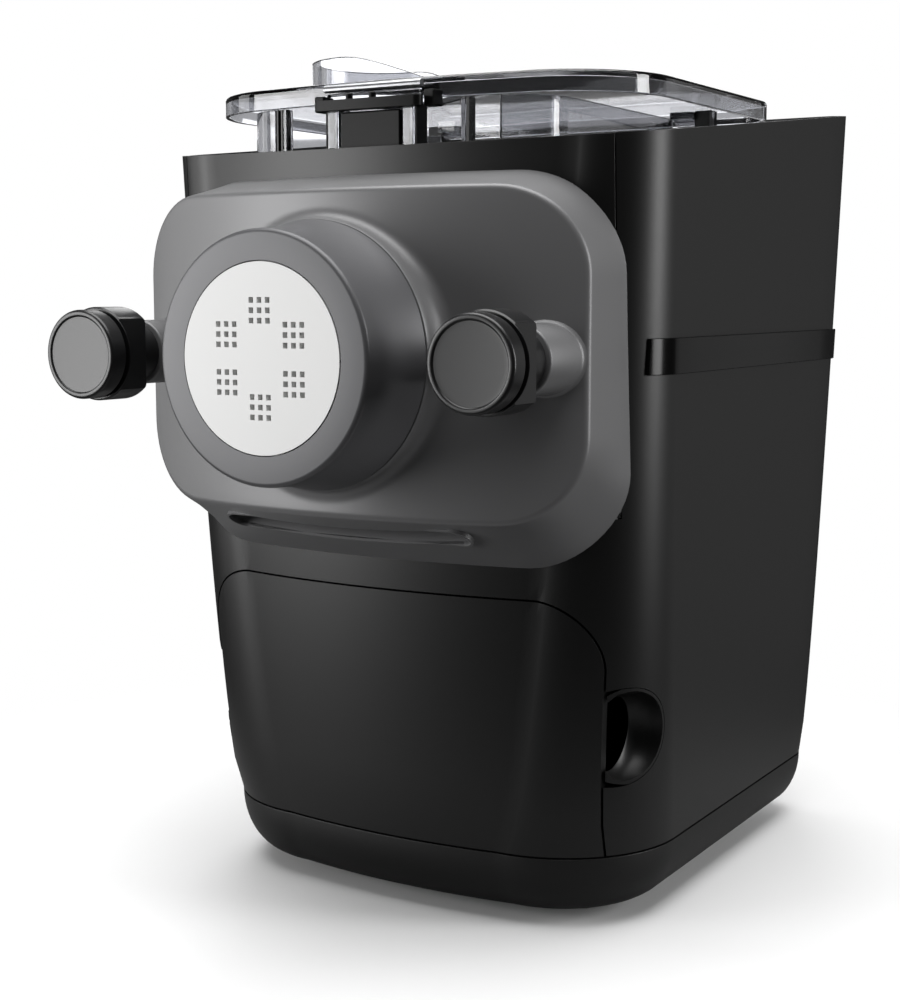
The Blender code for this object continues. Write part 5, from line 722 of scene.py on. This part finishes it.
def collarOutline(radius, tip):
    half = math.degrees(math.acos(radius / (tip - collar["x"])))
    points = arc(collar["x"], collar["y"], radius, half, 360 - half, 64)
    last, first = points[-1], points[0]
    apex = (tip, collar["y"])
    lower = [tuple(mix(a, b, i / 10) for a, b in zip(last, apex)) for i in range(1, 10)]
    upper = [tuple(mix(a, b, i / 10) for a, b in zip(apex, first)) for i in range(1, 10)]
    return points + lower + [apex] + upper


def collarRise(x):
    share = min(1.0, max(0.0, (collar["tip"] - x) / (collar["tip"] - collar["x"])))
    return collar["rise"] * share * share * (3 - 2 * share)


def buildLid():
    rings = [lidRing(lid["top"] - lid["wall"], lid["wall"]), lidRing(lid["bottom"], lid["wall"]), lidRing(lid["bottom"], 0.0)]
    for inset, rise in arc(1.6 * mm, lid["top"] - 1.6 * mm, 1.6 * mm, 180, 90, 5):
        rings.append(lidRing(rise, inset))
    cover = loft("lidCover", rings, capFirst=True, capLast=True)
    outer = collarOutline(collar["radius"], collar["tip"])
    innerRadius = collar["radius"] - collar["wall"]
    inner = collarOutline(innerRadius, collar["x"] + (collar["tip"] - collar["x"]) * innerRadius / collar["radius"])
    hole = flatSolid("collarHole", inner, 0.012, (0, 0, nozzleZ + lid["top"]), "z")
    notch = box("notchCut", (-0.0245, front + lid["start"] - 0.006, nozzleZ + lid["bottom"] - 0.006),
                (0.0180, front + lid["start"] + 0.0105, nozzleZ + lid["bottom"] + 0.0036))
    cutAll(cover, notch, hole)
    finish(softEdges(cover, 0.3 * mm, 2, 50), "clearSmoke", "lid", "lid")
    foot = nozzleZ + lid["top"] - lid["wall"] / 2
    head = nozzleZ + lid["top"] + collar["lip"]
    rings = [[(x, y, foot) for x, y in outer], [(x, y, head + collarRise(x)) for x, y in outer],
             [(x, y, head + collarRise(x)) for x, y in inner], [(x, y, foot) for x, y in inner]]
    rim = loft("inletCollar", rings, loop=True)
    finish(softEdges(rim, 0.4 * mm, 3, 60), "clearSmoke", "lid")
    for side, tag in ((-1, "Left"), (1, "Right")):
        x = side * 0.060
        y, z = front + 0.233, nozzleZ + 0.101
        barrel = rod(f"lidKnuckle{tag}", 0.0046, 0.010, (x, y, z), "x", 48, True)
        finish(softEdges(barrel, 0.4 * mm), "clearSmoke", "lid")
        web = box(f"lidWeb{tag}", (x - 0.005, front + 0.2245, z - 0.0023), (x + 0.005, y, z + 0.0023), True)
        finish(softEdges(web, 0.4 * mm), "clearSmoke", "lid")
        x = side * 0.0250
        ear = box(f"latchEar{tag}", (x - 0.0022, front + 0.0720, nozzleZ + 0.0925), (x + 0.0022, front + 0.0790, nozzleZ + 0.0985), True)
        finish(softEdges(ear, 0.5 * mm), "latchBlack", "lid")


def buildLatch():
    outline = arc(0.0215, 0, 0.0026, -90, 90, 10) + arc(-0.0215, 0, 0.0026, 90, 270, 10)
    bar = flatSolid("latchBar", outline, 0.0040, (0, front + 0.0690, nozzleZ + 0.0942), "z", shown=True)
    finish(softEdges(bar, 0.5 * mm, 3), "latchBlack", "latch", "lid_latch")
    for number, x in enumerate((-0.0087, 0.0019)):
        boss = turned(f"latchBoss{number}", [(0, 0), (0.0014, 0), (0.0014, 0.0022), (0.0010, 0.0026), (0, 0.0026)],
                      (x, front + 0.0690, nozzleZ + 0.0960), "z", 32)
        finish(boss, "latchBlack", "latch")
    block = box("latchKeeper", (-0.0137, front + 0.0700, nozzleZ + 0.0760), (0.0137, front + 0.0745, nozzleZ + 0.0918), True)
    finish(softEdges(block, 0.8 * mm, 3), "latchBlack", housing, "latch_block")
    for side, tag in ((-1, "Left"), (1, "Right")):
        x = side * 0.0172
        guide = box(f"latchGuide{tag}", (x - 0.0026, front + 0.0700, nozzleZ + 0.0760), (x + 0.0026, front + 0.0785, nozzleZ + 0.0935), True)
        finish(softEdges(guide, 0.6 * mm, 3), "clearSmoke", housing)
        edge = box(f"latchEdge{tag}", (x + side * 0.0027, front + 0.0705, nozzleZ + 0.0760), (x + side * 0.0036, front + 0.0780, nozzleZ + 0.0935), True)
        finish(softEdges(edge, 0.2 * mm), "latchBlack", housing)


chamber = {"radius": 0.0640, "topHalf": 0.0705, "start": 0.0790, "length": 0.1290, "wall": 0.0026, "corner": 0.0190, "top": 0.0955}


def trough(inset, setback):
    radius = chamber["radius"] - inset
    flare = chamber["top"] * 0.35
    right = []
    for i in range(13):
        t = i / 12
        rise = min(1.0, t / 0.6)
        right.append((mix(radius, chamber["topHalf"] - inset, rise * rise * (3 - 2 * rise)), mix(flare, chamber["top"], t)))
    left = [(-x, z) for x, z in reversed(right)]
    return [(x, front + setback, nozzleZ + z) for x, z in left + arc(0, 0, radius, 180, 360, 48) + right]


def buildChamber():
    stations = [(chamber["corner"] * (1 - math.sin(a)), chamber["corner"] * (1 - math.cos(a)))
                for a in (math.pi / 2 * i / 8 for i in range(9))]
    rings = [trough(inset, chamber["start"] + depth) for inset, depth in stations]
    end = chamber["start"] + chamber["length"]
    rings += [trough(inset, end - depth) for inset, depth in reversed(stations)]
    vessel = solidify(loft("chamberVessel", rings, closed=False), chamber["wall"], (0, front + 0.143, nozzleZ + 0.03))
    cutAll(vessel, rod("mouthCut", 0.027, 0.026, (0, front + chamber["start"], nozzleZ)),
           rod("sealCut", 0.0123, 0.026, (0, front + end, nozzleZ)))
    finish(softEdges(vessel, 0.3 * mm, 2, 60), "clearSmoke", housing, "mixing_chamber")
    for number, (x, wide, look) in enumerate(((-0.0468, 0.0010, "glossPart"), (-0.0447, 0.0010, "glossPart"), (-0.0432, 0.0016, "clearSmoke"),
                                              (0.0386, 0.0018, "clearSmoke"), (0.0407, 0.0016, "glossPart"))):
        rib = box(f"chamberRib{number}", (x - wide / 2, front + chamber["start"] - 0.0048, nozzleZ + 0.066),
                  (x + wide / 2, front + chamber["start"] - 0.0003, nozzleZ + chamber["top"] - 0.0006), True)
        finish(softEdges(rib, 0.25 * mm), look, housing)


buildCasing()
print("stage: casing built")
buildBand()
buildBase()
buildPanel()
print("stage: band, base and panel built")
buildRing()
buildDisc()
buildKnob("Left", -1, "knob_left")
buildKnob("Right", 1, "knob_right")
print("stage: ring, disc and knobs built")
buildLid()
buildLatch()
buildChamber()
print("stage: lid and chamber built")

for name in ("top_deck", "control_panel", "power_inlet"):
    softEdges(nodes[name], 0.25 * mm, 2, 45)


# Floor, light and camera

def buildStage():
    floorMat = bpy.data.materials.new("paleStudioFloor")
    floorMat.use_nodes = True
    tree = floorMat.node_tree
    shader = tree.nodes["Principled BSDF"]
    place = addNode(tree, "ShaderNodeTexCoord")
    tone = addNode(tree, "ShaderNodeTexNoise", {"Vector": place.outputs["Object"], "Scale": 1 / (300 * mm)})
    rough = addNode(tree, "ShaderNodeMapRange", {"Value": tone.outputs["Fac"], "To Min": 0.75, "To Max": 0.85})
    tree.links.new(rough.outputs["Result"], shader.inputs["Roughness"])
    shader.inputs["Specular IOR Level"].default_value = 0.1
    path = addNode(tree, "ShaderNodeLightPath")
    seen = addNode(tree, "ShaderNodeMath", {0: path.outputs["Is Camera Ray"], 1: path.outputs["Is Transmission Ray"]}, operation="MAXIMUM")
    paint = addNode(tree, "ShaderNodeMix", {"Factor": seen.outputs["Value"]}, data_type="RGBA")
    paint.inputs[6].default_value = (0.32, 0.32, 0.32, 1)
    paint.inputs[7].default_value = (0.9, 0.9, 0.9, 1)
    tree.links.new(paint.outputs[2], shader.inputs["Base Color"])
    reach = addNode(tree, "ShaderNodeVectorMath", {0: place.outputs["Object"]}, operation="LENGTH")
    fade = addNode(tree, "ShaderNodeMapRange", {"Value": reach.outputs["Value"], "From Min": 110 * mm, "From Max": 380 * mm}, interpolation_type="SMOOTHSTEP")
    clear = addNode(tree, "ShaderNodeBsdfTransparent")
    ground = addNode(tree, "ShaderNodeMixShader", {"Fac": fade.outputs["Result"], 1: shader.outputs["BSDF"], 2: clear.outputs["BSDF"]})
    tree.links.new(ground.outputs["Shader"], tree.nodes["Material Output"].inputs["Surface"])
    bm = bmesh.new()
    bmesh.ops.create_grid(bm, x_segments=1, y_segments=1, size=1.2)
    floor = meshObject("studioFloor", bm)
    floor.data.materials.append(floorMat)
    world = bpy.data.worlds.new("paleStudio")
    scene.world = world
    world.use_nodes = True
    tree = world.node_tree
    tree.nodes.clear()
    path = addNode(tree, "ShaderNodeLightPath")
    seen = addNode(tree, "ShaderNodeMath", {0: path.outputs["Is Camera Ray"], 1: path.outputs["Is Transmission Ray"]}, operation="MAXIMUM")
    soft = addNode(tree, "ShaderNodeBackground", {"Color": (1, 1, 1, 1), "Strength": 0.05})
    white = addNode(tree, "ShaderNodeBackground", {"Color": (1, 1, 1, 1), "Strength": 1.0})
    blend = addNode(tree, "ShaderNodeMixShader", {"Fac": seen.outputs["Value"], 1: soft.outputs["Background"], 2: white.outputs["Background"]})
    addNode(tree, "ShaderNodeOutputWorld", {"Surface": blend.outputs["Shader"]})


def softbox(name, spot, target, size, power):
    light = bpy.data.lights.new(name, "AREA")
    light.shape = "RECTANGLE"
    light.size, light.size_y = size
    light.energy = power
    obj = bpy.data.objects.new(name, light)
    scene.collection.objects.link(obj)
    obj.location = spot
    obj.rotation_euler = (Vector(target) - Vector(spot)).to_track_quat("-Z", "Y").to_euler()
    return obj


def buildLights():
    softbox("leftSoftbox", (-1.35, -0.42, 0.42), (0, -0.05, 0.2), (0.45, 1.0), 3)
    softbox("topSoftbox", (0.0, -0.1, 1.45), (0, 0, 0.1), (1.5, 1.4), 34)
    softbox("rearRightStrip", (0.75, 1.25, 0.20), (0, 0, 0.2), (0.5, 1.1), 0.5)
    softbox("rightStrip", (1.35, 0.35, 0.45), (0, 0, 0.22), (0.35, 0.9), 12)
    softbox("frontFill", (-1.05, -1.15, 0.30), (0, -0.1, 0.2), (0.7, 0.8), 15.5)
    softbox("rearFill", (-0.9, 1.5, 0.9), (0, 0.1, 0.2), (0.9, 0.9), 7)


def buildCamera():
    lens = bpy.data.cameras.new("photoCamera")
    lens.lens = 60.13
    lens.sensor_width = 36
    lens.sensor_fit = "AUTO"
    camera = bpy.data.objects.new("photoCamera", lens)
    scene.collection.objects.link(camera)
    camera.location = (0.3611, -0.6231, 0.2478)
    camera.rotation_euler = (math.radians(90 - 7.045), 0, math.radians(31.194))
    scene.camera = camera


buildStage()
buildLights()
buildCamera()
scene.view_settings.view_transform = "Standard"
print("stage: studio built")
